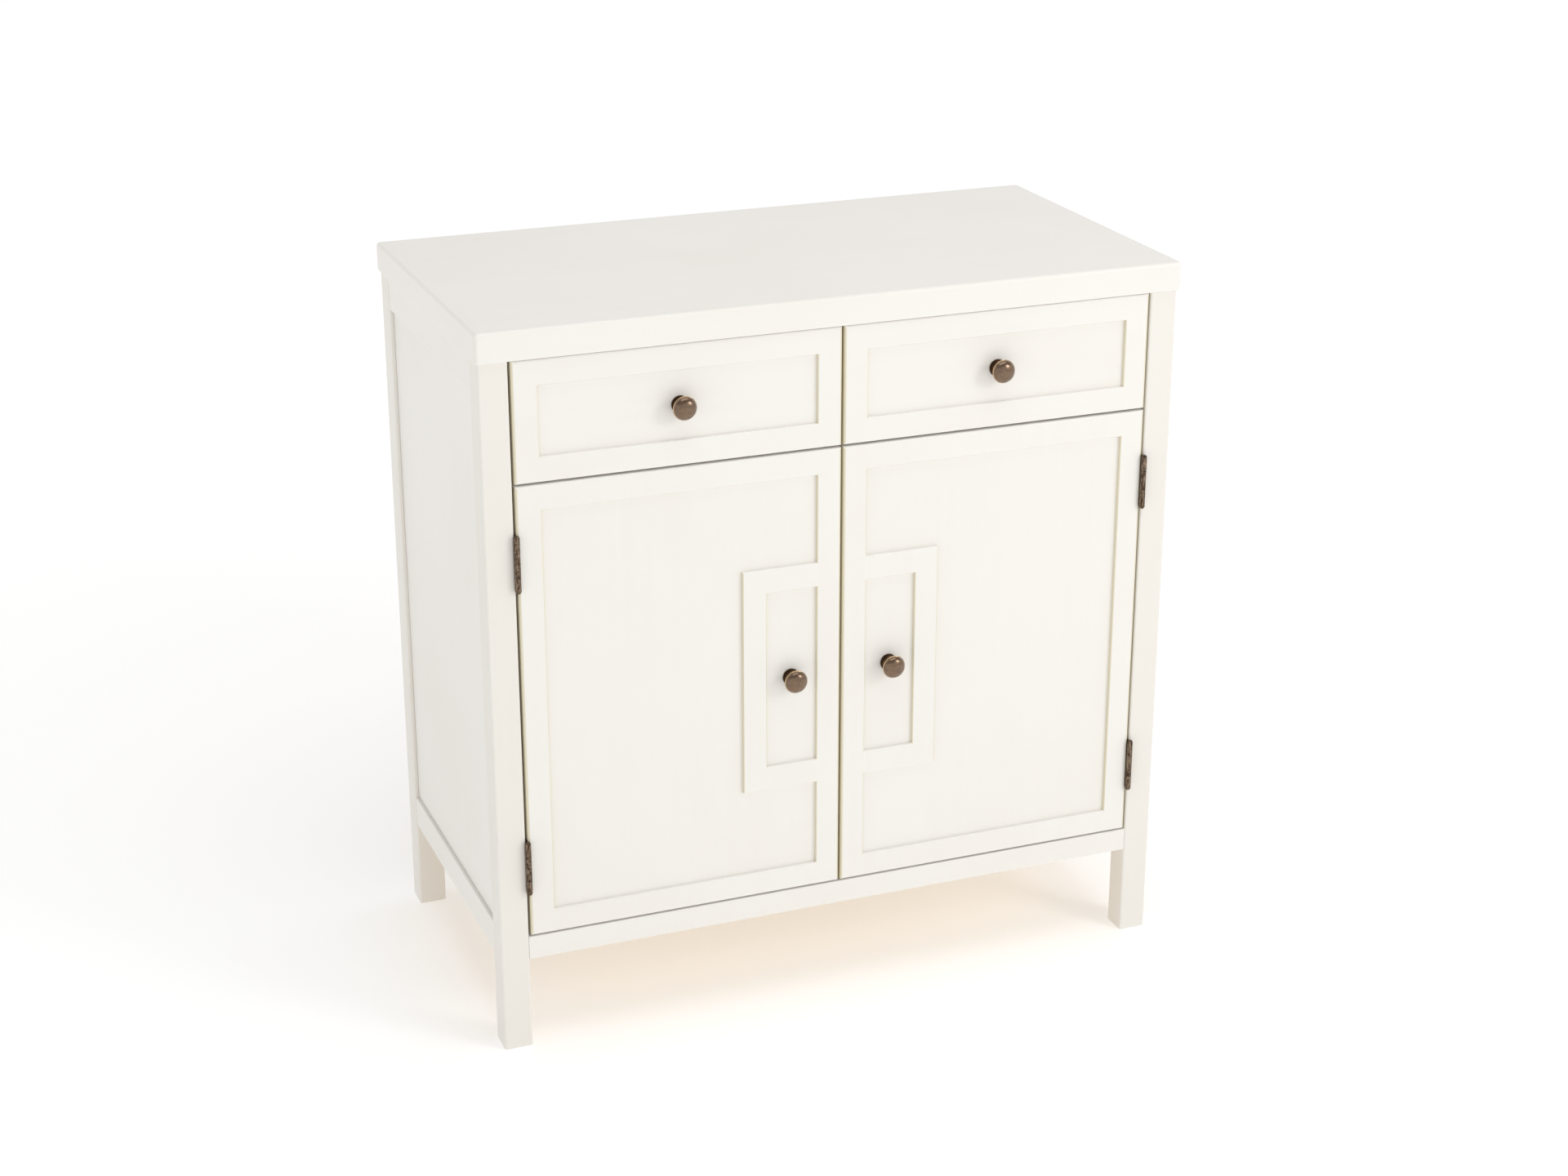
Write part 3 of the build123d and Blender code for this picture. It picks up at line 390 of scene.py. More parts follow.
# ---------------------------------------------------------------- finishes
# In every finish the numbers are named alike. A squeeze under 1 draws a pattern out along the
# grain. A span holds the value that gives 0 and the value that gives 1. A share is how much of a
# colour or of a pattern shows. Dulling adds roughness and polish takes it away. A depth is what a
# height of 1 measures, and a strength is how much of that relief shows.
@dataclass(frozen=True)
class CreamPaint:
    """Satin cream paint, sprayed on wood and board."""

    slot: str = "cream_paint"
    face: Colour = (0.86, 0.835, 0.79)
    warm: Colour = (0.85, 0.82, 0.765)
    # Painted shade: the darker yellow given to the edges of a front that face the sides.
    painted_shade_colour: Colour = (0.74, 0.675, 0.495)
    # Paler cream for the worn edges; on the edges of a front that face up, the same colour is a
    # painted highlight.
    worn_edge_and_highlight: Colour = (0.89, 0.87, 0.83)

    grain_squeeze: float = 0.035
    fibres: Noise = Noise(620.0, 5.0, 0.62)
    figure: Noise = Noise(70.0, 3.0, 0.55)
    cloud: Noise = Noise(5.0, 4.0, 0.55)
    peel: Noise = Noise(900.0, 2.0)
    rub: Noise = Noise(60.0, 4.0, 0.65)

    cloud_share: float = 0.7
    figure_share: float = 0.3
    warm_span: Span = (0.36, 0.68)
    arris_width: float = 2.2 * MM
    rub_span: Span = (0.30, 0.62)
    rub_share: float = 0.85
    # How far up-facing front edges take the painted highlight, and side-facing ones the painted
    # shade.
    painted_highlight_span: Span = (0.15, 0.6)
    painted_highlight_share: float = 0.8
    painted_shade_span: Span = (0.05, 0.30)
    painted_shade_share: float = 0.9
    thin: float = 0.5          # a front is thinner than this share of its width and height

    roughness: float = 0.38
    cloud_dulling: float = 0.10
    fibre_dulling: float = 0.12
    rub_polish: float = 0.06
    refraction: float = 1.48

    fibre_height: float = 0.55
    figure_height: float = 0.25
    peel_height: float = 0.20
    grain_depth: float = 0.06 * MM
    grain_strength: float = 0.5

    def build(self, job: Job) -> bpy.types.Material:
        """Make the material for one piece.

        Args:
            job: The piece.

        Returns:
            The material.
        """
        sheet = NodeSheet.named(f"paint_{job.name}")
        here = job.pattern(sheet)
        along = sheet.scaled(here, job.grain.stretch(self.grain_squeeze))
        fibres = sheet.noise(along, self.fibres)
        figure = sheet.noise(along, self.figure)
        cloud = sheet.noise(here, self.cloud)
        peel = sheet.noise(here, self.peel)
        rub = sheet.noise(here, self.rub)

        patches = self.cloud_share * cloud + self.figure_share * figure
        colour = sheet.tint(patches.eased(*self.warm_span), self.face, self.warm)
        worn = job.extent.arrises(sheet, self.arris_width) * rub.eased(*self.rub_span)
        colour = sheet.tint(worn * self.rub_share, colour, self.worn_edge_and_highlight)
        # On a door or drawer front, highlight and shade are painted on the edges by the way they
        # face.
        if self.is_front(job):
            colour = self.paint_edge_highlight_and_shade(sheet, colour)

        height = self.fibre_height * fibres + self.figure_height * figure + self.peel_height * peel
        dull = self.roughness + cloud.swing(self.cloud_dulling) + fibres.swing(self.fibre_dulling)
        return sheet.surface({
            "Base Color": colour,
            "Roughness": dull - self.rub_polish * worn,
            "IOR": self.refraction,
            "Normal": sheet.relief(height, self.grain_depth, self.grain_strength),
        })

    def paint_edge_highlight_and_shade(self, sheet: NodeSheet, colour: Wire) -> Wire:
        """Paint a highlight on the edges that face up, and a darker yellow shade on those that face
        the sides.

        Args:
            sheet: The material's sheet.
            colour: The colour of the face.

        Returns:
            The colour with the painted highlight and shade on its edges.
        """
        across, _, up = sheet.parts(sheet.facing())
        # Painted highlight where the surface faces up; painted shade where it faces the sides.
        painted_highlight = up.eased(*self.painted_highlight_span) * self.painted_highlight_share
        painted_shade = abs(across).eased(*self.painted_shade_span) * self.painted_shade_share
        return sheet.tint(painted_shade, sheet.tint(painted_highlight, colour, self.worn_edge_and_highlight), self.painted_shade_colour)

    def is_front(self, job: Job) -> bool:
        """Tell a door or drawer front, whose edges take the painted highlight and shade."""
        size = job.extent.size
        return size.y < self.thin * min(size.x, size.z)


@dataclass(frozen=True)
class PlainWood:
    """Planed pine under a clear matt lacquer."""

    slot: str = "plain_wood"
    spring: Colour = (0.70, 0.52, 0.31)
    summer: Colour = (0.50, 0.31, 0.145)

    grain_squeeze: float = 0.05
    sway: Noise = Noise(9.0)
    pores: Noise = Noise(900.0, 3.0, 0.7)
    cloud: Noise = Noise(7.0)

    ring: float = 5.5 * MM
    pith: tuple[float, float] = (0.09, 0.03)  # from the piece to the middle of the tree
    wander: float = 0.022                     # how far the rings sway
    late_rise: Span = (0.35, 0.92)
    late_fall: Span = (1.0, 0.94)
    late_share: float = 0.75
    cloud_share: float = 0.25
    pore_span: Span = (0.60, 0.85)
    pore_share: float = 0.35

    roughness: float = 0.52
    pore_dulling: float = 0.12
    late_polish: float = 0.08
    pore_height: float = 0.5
    late_height: float = 0.5
    grain_depth: float = 0.12 * MM
    grain_strength: float = 0.5

    def build(self, job: Job) -> bpy.types.Material:
        """Make the material for one piece.

        Args:
            job: The piece.

        Returns:
            The material.
        """
        sheet = NodeSheet.named(f"pine_{job.name}")
        here = job.pattern(sheet)
        along = sheet.scaled(here, job.grain.stretch(self.grain_squeeze))
        sway = sheet.noise(along, self.sway)
        pores = sheet.noise(along, self.pores)
        cloud = sheet.noise(here, self.cloud)
        rings = ((self.from_pith(sheet, job) + self.wander * sway) / self.ring).fraction()
        late = rings.eased(*self.late_rise) * rings.eased(*self.late_fall)

        dark = late * self.late_share + self.cloud_share * cloud
        colour = sheet.tint(dark, self.spring, self.summer)
        colour = sheet.tint(pores.eased(*self.pore_span) * self.pore_share, colour, self.summer)
        height = self.pore_height * pores + self.late_height * late
        return sheet.surface({
            "Base Color": colour,
            "Roughness": self.roughness + pores.swing(self.pore_dulling) - self.late_polish * late,
            "Normal": sheet.relief(height, self.grain_depth, self.grain_strength),
        })

    def from_pith(self, sheet: NodeSheet, job: Job) -> Wire:
        """Return the distance from the middle of the tree, which lies outside the piece.

        Args:
            sheet: The material's sheet.
            job: The piece.

        Returns:
            The distance across the grain.
        """
        places = list(zip(sheet.parts(sheet.position()), job.extent.middle))
        del places[job.grain.value]
        (first, first_middle), (second, second_middle) = places
        over, up = self.pith
        return (first - (first_middle - over)).hypot(second - (second_middle - up))


@dataclass(frozen=True)
class InnerBoard:
    """Birch-faced ply, its layers showing on the cut edges."""

    slot: str = "inner_board"
    pale: Colour = (0.76, 0.62, 0.43)
    figure: Colour = (0.64, 0.47, 0.28)
    core: Colour = (0.42, 0.27, 0.14)

    wave_squeeze: float = 0.12
    waves: Noise = Noise(16.0, 5.0, 0.6)
    lines: float = 9.0         # in the rise of one wave
    line_span: Span = (0.2, 0.9)
    line_share: float = 0.45
    pore_squeeze: float = 0.03
    pores: Noise = Noise(800.0, 3.0, 0.7)
    face_pores: float = 0.30

    ply: float = 1.6 * MM
    stripe_rise: Span = (0.44, 0.56)
    stripe_fall: Span = (0.98, 0.92)
    stripe_share: float = 0.8
    edge_pores: float = 0.15
    side_span: Span = (0.6, 0.4)

    roughness: float = 0.50
    pore_dulling: float = 0.15
    side_dulling: float = 0.12
    pore_height: float = 0.6
    line_height: float = 0.4
    grain_depth: float = 0.08 * MM
    grain_strength: float = 0.5

    def build(self, job: Job) -> bpy.types.Material:
        """Make the material for one piece.

        Args:
            job: The piece.

        Returns:
            The material.
        """
        sheet = NodeSheet.named(f"ply_{job.name}")
        here = job.pattern(sheet)
        waves = sheet.noise(sheet.scaled(here, job.grain.stretch(self.wave_squeeze)), self.waves)
        lines = (waves * self.lines).fraction()
        pores = sheet.noise(sheet.scaled(here, job.grain.stretch(self.pore_squeeze)), self.pores)
        streaks = lines.eased(*self.line_span) * self.line_share + self.face_pores * pores
        face = sheet.tint(streaks, self.pale, self.figure)

        rise = sheet.parts(sheet.position())[2] - job.extent.low.z
        layer = (rise / (2 * self.ply)).fraction()
        stripe = layer.eased(*self.stripe_rise) * layer.eased(*self.stripe_fall)
        dark = stripe * self.stripe_share + self.edge_pores * pores
        edge = sheet.tint(dark, self.pale, self.core)
        side = abs(sheet.parts(sheet.facing())[2]).eased(*self.side_span)
        height = self.pore_height * pores + self.line_height * lines
        return sheet.surface({
            "Base Color": sheet.tint(side, face, edge),
            "Roughness": self.roughness + pores.swing(self.pore_dulling) + self.side_dulling * side,
            "Normal": sheet.relief(height, self.grain_depth, self.grain_strength),
        })


@dataclass(frozen=True)
class Hardboard:
    """Pressed fibre board, brown and faintly mottled."""

    slot: str = "back_board"
    brown: Colour = (0.33, 0.205, 0.115)
    fibre: Colour = (0.47, 0.315, 0.185)
    fleck: Colour = (0.15, 0.085, 0.045)

    pulp: Noise = Noise(260.0, 6.0, 0.7)
    cloud: Noise = Noise(8.0, 4.0)
    pulp_span: Span = (0.3, 0.75)
    pulp_share: float = 0.7
    cloud_share: float = 0.3
    flecks: float = 330.0      # to a metre
    fleck_span: Span = (0.20, 0.10)
    fleck_share: float = 0.6

    roughness: float = 0.62
    pulp_dulling: float = 0.2
    pulp_depth: float = 0.15 * MM
    pulp_strength: float = 0.6

    def build(self, job: Job) -> bpy.types.Material:
        """Make the material for one piece.

        Args:
            job: The piece.

        Returns:
            The material.
        """
        sheet = NodeSheet.named(f"hardboard_{job.name}")
        here = sheet.position()
        pulp = sheet.noise(here, self.pulp)
        cloud = sheet.noise(here, self.cloud)
        flecks = sheet.specks(here, self.flecks).eased(*self.fleck_span)
        mottle = self.pulp_share * pulp.eased(*self.pulp_span) + self.cloud_share * cloud
        colour = sheet.tint(mottle, self.brown, self.fibre)
        return sheet.surface({
            "Base Color": sheet.tint(flecks * self.fleck_share, colour, self.fleck),
            "Roughness": self.roughness + pulp.swing(self.pulp_dulling),
            "Normal": sheet.relief(pulp, self.pulp_depth, self.pulp_strength),
        })


@dataclass(frozen=True)
class AgedBrass:
    """Brass under a brown patina, rubbed back to gold on its rim."""

    slot: str = "aged_brass"
    brown: Colour = (0.130, 0.076, 0.043)
    honey: Colour = (0.205, 0.125, 0.068)
    gold: Colour = (0.86, 0.60, 0.33)
    dark: Colour = (0.050, 0.029, 0.016)

    blotch: Noise = Noise(240.0, 5.0, 0.6)
    blotch_span: Span = (0.20, 0.85)
    grime: Noise = Noise(900.0, 3.0, 0.6)
    neck_shade: float = 0.75   # the share of the neck that is darkest
    neck_share: float = 0.72
    rim_width: float = 1.0 * MM
    rim_heart: float = 0.2     # the share of that width that is rubbed clean
    rim_floor: float = 0.55    # how clean, whatever the grime
    rim_grime: float = 0.45    # how much the grime takes off
    grime_span: Span = (0.3, 0.6)
    pits: float = 1500.0       # to a metre
    pit_span: Span = (0.16, 0.06)
    pit_share: float = 0.5

    roughness: float = 0.25
    grime_dulling: float = 0.10
    neck_dulling: float = 0.12
    rim_polish: float = 0.10
    lacquer: float = 1.0
    lacquer_lost: float = 0.9
    lacquer_roughness: float = 0.16

    tool_pitch: float = 0.42 * MM
    tool_wander: float = 0.8
    tool_height: float = 0.7
    grime_height: float = 0.3
    mark_depth: float = 0.012 * MM
    mark_strength: float = 0.6

    def build(self, job: Job, rim: float, neck: float) -> bpy.types.Material:
        """Make the material for one knob.

        Args:
            job: The knob; its axis is the middle of its box, along Y.
            rim: How far the rim stands from the foot of the knob.
            neck: How far from the foot the dark, sheltered part reaches.

        Returns:
            The material.
        """
        sheet = NodeSheet.named(f"brass_{job.name}")
        here = job.pattern(sheet)
        x, y, z = sheet.parts(sheet.position())
        middle = job.extent.middle
        out = (x - middle.x).hypot(z - middle.z)
        rise = job.extent.high.y - y
        blotch = sheet.noise(here, self.blotch)
        grime = sheet.noise(here, self.grime)
        turned = (out / self.tool_pitch + self.tool_wander * blotch).fraction()

        colour = sheet.tint(blotch.eased(*self.blotch_span), self.brown, self.honey)
        sheltered = rise.eased(neck, neck * self.neck_shade)
        colour = sheet.tint(sheltered * self.neck_share, colour, self.dark)
        rubbed = abs(rise - rim).eased(self.rim_width, self.rim_heart * self.rim_width)
        rubbed = rubbed * (self.rim_floor + self.rim_grime * grime.eased(*self.grime_span))
        rubbed = rubbed.held()
        colour = sheet.tint(rubbed, colour, self.gold)
        pits = sheet.specks(here, self.pits).eased(*self.pit_span)
        colour = sheet.tint(pits * self.pit_share, colour, self.dark)
        dull = self.roughness + grime.swing(self.grime_dulling) + self.neck_dulling * sheltered
        height = self.tool_height * turned + self.grime_height * grime
        return sheet.surface({
            "Base Color": colour,
            "Metallic": 1.0,
            "Coat Weight": self.lacquer - self.lacquer_lost * sheltered,
            "Coat Roughness": self.lacquer_roughness,
            "Roughness": dull - self.rim_polish * rubbed,
            "Normal": sheet.relief(height, self.mark_depth, self.mark_strength),
        })


@dataclass(frozen=True)
class Bronze:
    """Dark bronze plating on rolled steel, rubbed lighter in streaks."""

    slot: str = "bronze"
    dark: Colour = (0.050, 0.034, 0.024)
    rubbed: Colour = (0.27, 0.195, 0.135)

    streak_squeeze: float = 0.12
    streak: Noise = Noise(700.0, 4.0, 0.6)
    grime: Noise = Noise(420.0, 4.0, 0.6)
    streak_share: float = 0.6
    grime_share: float = 0.4
    wear_span: Span = (0.42, 0.60)

    roughness: float = 0.42
    grime_dulling: float = 0.2
    wear_polish: float = 0.08
    grime_height: float = 0.5
    streak_height: float = 0.5
    plating_depth: float = 0.03 * MM
    plating_strength: float = 0.6

    def build(self, job: Job) -> bpy.types.Material:
        """Make the material for one piece.

        Args:
            job: The piece.

        Returns:
            The material.
        """
        sheet = NodeSheet.named(f"bronze_{job.name}")
        here = job.pattern(sheet)
        along = sheet.scaled(here, Grain.UP.stretch(self.streak_squeeze))
        streak = sheet.noise(along, self.streak)
        grime = sheet.noise(here, self.grime)
        wear = (self.streak_share * streak + self.grime_share * grime).eased(*self.wear_span)
        height = self.grime_height * grime + self.streak_height * streak
        return sheet.surface({
            "Base Color": sheet.tint(wear, self.dark, self.rubbed),
            "Metallic": 1.0,
            "Roughness": self.roughness + grime.swing(self.grime_dulling) - self.wear_polish * wear,
            "Normal": sheet.relief(height, self.plating_depth, self.plating_strength),
        })


@dataclass(frozen=True)
class ZincSteel:
    """Bright zinc on steel, with fine scratches and a dull bloom."""

    slot: str = "zinc_steel"
    bright: Colour = (0.60, 0.60, 0.58)
    dull: Colour = (0.36, 0.365, 0.37)

    bloom: Noise = Noise(320.0, 4.0, 0.6)
    bloom_span: Span = (0.35, 0.7)
    scratch_squeeze: float = 0.05
    scratch: Noise = Noise(1800.0)

    roughness: float = 0.34
    bloom_dulling: float = 0.25
    scratch_dulling: float = 0.10
    scratch_depth: float = 0.01 * MM
    scratch_strength: float = 0.5

    def build(self, job: Job) -> bpy.types.Material:
        """Make the material for one piece.

        Args:
            job: The piece.

        Returns:
            The material.
        """
        sheet = NodeSheet.named(f"zinc_{job.name}")
        here = job.pattern(sheet)
        bloom = sheet.noise(here, self.bloom)
        along = sheet.scaled(here, Grain.ACROSS.stretch(self.scratch_squeeze))
        scratch = sheet.noise(along, self.scratch)
        dull = self.roughness + bloom.swing(self.bloom_dulling)
        return sheet.surface({
            "Base Color": sheet.tint(bloom.eased(*self.bloom_span), self.bright, self.dull),
            "Metallic": 1.0,
            "Roughness": dull + scratch.swing(self.scratch_dulling),
            "Normal": sheet.relief(scratch, self.scratch_depth, self.scratch_strength),
        })


@dataclass(frozen=True)
class CatchPlastic:
    """Off-white moulded plastic with a fine spark-eroded texture."""

    slot: str = "catch_plastic"
    body: Colour = (0.72, 0.69, 0.63)
    scuff: Colour = (0.60, 0.56, 0.49)

    skin: Noise = Noise(1400.0)
    scuffs: Noise = Noise(180.0, 4.0, 0.6)
    scuff_span: Span = (0.45, 0.75)

    roughness: float = 0.48
    skin_dulling: float = 0.15
    skin_depth: float = 0.03 * MM
    skin_strength: float = 0.5

    def build(self, job: Job) -> bpy.types.Material:
        """Make the material for one piece.

        Args:
            job: The piece.

        Returns:
            The material.
        """
        sheet = NodeSheet.named(f"plastic_{job.name}")
        here = sheet.position()
        skin = sheet.noise(here, self.skin)
        scuffs = sheet.noise(here, self.scuffs)
        return sheet.surface({
            "Base Color": sheet.tint(scuffs.eased(*self.scuff_span), self.body, self.scuff),
            "Roughness": self.roughness + skin.swing(self.skin_dulling),
            "Normal": sheet.relief(skin, self.skin_depth, self.skin_strength),
        })


@dataclass(frozen=True)
class Ferrite:
    """A dark pressed magnet between bright steel pole plates."""

    slot: str = "magnet"
    dark: Colour = (0.035, 0.036, 0.040)
    steel: Colour = (0.45, 0.45, 0.44)

    grit: Noise = Noise(1300.0)
    plate: float = 1.6 * MM
    plate_blur: float = 0.02

    roughness: float = 0.45
    grit_dulling: float = 0.2
    steel_polish: float = 0.12
    grit_depth: float = 0.02 * MM
    grit_strength: float = 0.5

    def build(self, job: Job) -> bpy.types.Material:
        """Make the material for one piece.

        Args:
            job: The piece.

        Returns:
            The material.
        """
        sheet = NodeSheet.named(f"magnet_{job.name}")
        here = sheet.position()
        grit = sheet.noise(here, self.grit)
        z = sheet.parts(here)[2]
        depth = job.extent.size.z / 2 - abs(z - job.extent.middle.z)
        blur = self.plate_blur * self.plate
        poles = depth.eased(self.plate + blur, self.plate - blur)
        return sheet.surface({
            "Base Color": sheet.tint(poles, self.dark, self.steel),
            "Metallic": poles,
            "Roughness": self.roughness + grit.swing(self.grit_dulling) - self.steel_polish * poles,
            "Normal": sheet.relief(grit, self.grit_depth, self.grit_strength),
        })


class Dresser:
    """Puts finishes on the frame's nodes."""

    def __init__(self) -> None:
        """Start with the first pattern shift."""
        self.turn = 0

    def job(self, name: str, grain: Grain) -> Job:
        """Return the next job, on a node of the frame, with a pattern shift of its own."""
        self.turn += 1
        return Job(name, Extent.of(name), grain, self.turn)

    def dress(self, name: str, finish: Finish, grain: Grain = Grain.UP) -> None:
        """Give a node of the frame its finish.

        Args:
            name: The node.
            finish: One of the finishes.
            grain: The way its wood runs.
        """
        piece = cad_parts[name]
        material = finish.build(self.job(name, grain))
        piece.data.materials.clear()
        piece.data.materials.append(material)
        LOG.info("%s: %s, grain %s", name, finish.slot, grain.letter)

    def dress_all(self, names: Iterable[str], finish: Finish, grain: Grain = Grain.UP) -> None:
        """Give several nodes the same finish, each with its own material."""
        for name in names:
            self.dress(name, finish, grain)


# ---------------------------------------------------------------- sub-assemblies
class Side(Enum):
    """The two halves of the cupboard."""

    LEFT = "left"
    RIGHT = "right"


@dataclass(frozen=True)
class Case:
    """The fixed case: posts, rails, boards and the fittings that stay on it."""

    paint: CreamPaint = CreamPaint()
    # The posts take a copy of the paint that is a little darker and yellower than the rest.
    leg_paint: CreamPaint = CreamPaint(face=(0.83, 0.80, 0.742), warm=(0.82, 0.785, 0.722))
    wood: PlainWood = PlainWood()
    board: InnerBoard = InnerBoard()

    def finish(self, dresser: Dresser) -> None:
        """Dress every fixed piece.

        Args:
            dresser: Who puts the finishes on.
        """
        self.finish_frame(dresser)
        self.finish_inside(dresser)
        self.finish_fittings(dresser)

    def finish_frame(self, dresser: Dresser) -> None:
        """Paint the top, posts, rails and side panels.

        Args:
            dresser: Who puts the finishes on.
        """
        wide = ("top_board", "front_bottom_rail", "back_bottom_rail")
        dresser.dress_all(wide, self.paint, Grain.ACROSS)
        for side in Side:
            posts = (f"{side.value}_front_post", f"{side.value}_back_post")
            dresser.dress_all(posts, self.leg_paint, Grain.UP)
            dresser.dress(f"{side.value}_side_panel", self.paint, Grain.UP)
            rails = (f"{side.value}_bottom_side_rail", f"{side.value}_top_side_rail")
            dresser.dress_all(rails, self.paint, Grain.DEEP)

    def finish_inside(self, dresser: Dresser) -> None:
        """Leave the inner rails in bare wood and the boards in ply.

        Args:
            dresser: Who puts the finishes on.
        """
        dresser.dress_all(("front_top_rail", "back_top_rail"), self.wood, Grain.ACROSS)
        bars = ("drawer_runners", "board_bearers", "drawer_divider")
        dresser.dress_all(bars, self.wood, Grain.DEEP)
        dresser.dress_all(("drawer_deck", "floor_board", "shelf"), self.board, Grain.ACROSS)
        dresser.dress("back_panel", Hardboard(), Grain.ACROSS)

    def finish_fittings(self, dresser: Dresser) -> None:
        """Finish the hinges, catches, pins, screws and nails.

        Args:
            dresser: Who puts the finishes on.
        """
        dresser.dress_all(("post_hinge_leaves", "hinge_pins", "small_case_screws"), Bronze())
        dresser.dress_all(("shelf_pins", "top_board_screws", "back_panel_nails"), ZincSteel())
        dresser.dress("catch_housings", CatchPlastic())
        dresser.dress("catch_magnets", Ferrite())


@dataclass
class Profile:
    """The half outline of a turned piece: points of radius and height."""

    points: list[tuple[float, float]] = field(default_factory=list)

    def to(self, radius: float, height: float) -> None:
        """Go straight to a point."""
        self.points.append((radius, height))

    def curve(self, end: tuple[float, float], flat_first: bool, steps: int) -> None:
        """Follow a quarter of an ellipse to a point.

        Args:
            end: The radius and height of the last point.
            flat_first: Whether the curve leaves along the radius and arrives along the height.
            steps: How many points are added.
        """
        (r0, h0), (r1, h1) = self.points[-1], end
        for step in range(1, steps + 1):
            angle = math.pi / 2 * step / steps
            rise, run = math.sin(angle), 1 - math.cos(angle)
            across, up = (rise, run) if flat_first else (run, rise)
            self.points.append((r0 + (r1 - r0) * across, h0 + (h1 - h0) * up))


@dataclass(frozen=True)
class TurnedKnob:
    """A small turned knob: a flange, a waisted neck, and a domed head with a rubbed rim."""

    flange_radius: float = 9.5 * MM
    flange_height: float = 1.7 * MM
    flange_round: float = 0.5 * MM
    fillet: float = 0.35 * MM
    cove_reach: float = 3.4 * MM
    cove_rise: float = 0.1 * MM
    neck_radius: float = 4.9 * MM
    neck_low: float = 6.2 * MM
    neck_high: float = 11.6 * MM
    bead: float = 0.55 * MM
    head_radius: float = 12.7 * MM
    rim_low: float = 15.9 * MM
    rim_high: float = 17.2 * MM
    groove: float = 0.28 * MM
    segments: int = 96
    fillet_steps: int = 4
    bead_steps: int = 5
    neck_steps: int = 12
    cup_steps: int = 14
    dome_steps: int = 24

    @property
    def rim_middle(self) -> float:
        """How far the widest part stands from the foot."""
        return (self.rim_low + self.rim_high) / 2

    def profile(self, radius: float, height: float) -> Profile:
        """Draw the half outline.

        Args:
            radius: The radius of the widest part, the rim.
            height: How far the head stands from the foot.

        Returns:
            The outline, from the axis at the foot to the axis at the crown.
        """
        bead_middle = self.neck_high - self.bead
        outline = Profile([(0.0, 0.0)])
        outline.to(self.flange_radius - self.fillet, 0.0)
        outline.curve((self.flange_radius, self.fillet), True, self.fillet_steps)
        outline.to(self.flange_radius, self.flange_height - self.flange_round)
        shoulder = (self.flange_radius - self.flange_round, self.flange_height)
        outline.curve(shoulder, False, self.bead_steps)
        outline.to(self.neck_radius + self.cove_reach, self.flange_height + self.cove_rise)
        outline.curve((self.neck_radius, self.neck_low), True, self.neck_steps)
        outline.to(self.neck_radius, bead_middle - self.bead)
        outline.curve((self.neck_radius + self.bead, bead_middle), True, self.bead_steps)
        outline.curve((self.neck_radius, self.neck_high), False, self.bead_steps)
        outline.curve((self.head_radius, self.rim_low), False, self.cup_steps)
        outline.curve((radius, self.rim_middle), True, self.bead_steps)
        outline.curve((self.head_radius, self.rim_high), False, self.bead_steps)
        outline.to(self.head_radius - self.groove, self.rim_high + self.groove)
        outline.curve((0.0, height), False, self.dome_steps)
        return outline

    def turn(self, name: str, node: str, body: str, finish: AgedBrass, dresser: Dresser) -> None:
        """Turn the knob that stands for a node of the frame.

        Args:
            name: The new piece's name.
            node: The node that it replaces.
            body: The body that it rides on.
            finish: Its finish.
            dresser: Who keeps the pattern shifts.
        """
        job = dresser.job(node, Grain.DEEP)
        extent = job.extent
        outline = self.profile(extent.size.x / 2, extent.size.y)
        mesh = bpy.data.meshes.new(name)
        solid = bmesh.new()
        foot = Vector((extent.middle.x, extent.high.y, extent.middle.z))
        rings = [self.ring(solid, foot, *point) for point in outline.points]
        for lower, upper in zip(rings, rings[1:]):
            self.bridge(solid, lower, upper)
        bmesh.ops.recalc_face_normals(solid, faces=solid.faces)
        for face in solid.faces:
            face.smooth = True
        solid.to_mesh(mesh)
        solid.free()
        knob = bpy.data.objects.new(name, mesh)
        bpy.context.scene.collection.objects.link(knob)
        mesh.materials.append(finish.build(job, self.rim_middle, self.neck_high))
        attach(knob, body)
        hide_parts(node)
        LOG.info("%s: turned, %d faces, stands for %s", name, len(mesh.polygons), node)

    def ring(
        self, solid: bmesh.types.BMesh, foot: Vector, radius: float, height: float
    ) -> list[bmesh.types.BMVert]:
        """Add one ring of the turning, or a single point on the axis.

        Args:
            solid: The mesh being made.
            foot: The middle of the knob's foot.
            radius: The ring's radius.
            height: How far it stands from the foot.

        Returns:
            The ring's vertices.
        """
        centre = foot - Vector((0.0, height, 0.0))
        if radius < AXIS_REACH:
            return [solid.verts.new(centre)]
        steps = (math.tau * index / self.segments for index in range(self.segments))
        return [
            solid.verts.new(centre + radius * Vector((math.cos(step), 0.0, math.sin(step))))
            for step in steps
        ]

    def bridge(
        self,
        solid: bmesh.types.BMesh,
        lower: list[bmesh.types.BMVert],
        upper: list[bmesh.types.BMVert],
    ) -> None:
        """Join two rings with faces.

        Args:
            solid: The mesh being made.
            lower: One ring, or a point.
            upper: The next ring, or a point.
        """
        for index in range(self.segments):
            after = (index + 1) % self.segments
            corners = [lower[index % len(lower)], lower[after % len(lower)]]
            corners += [upper[after % len(upper)], upper[index % len(upper)]]
            solid.faces.new(list(dict.fromkeys(corners)))


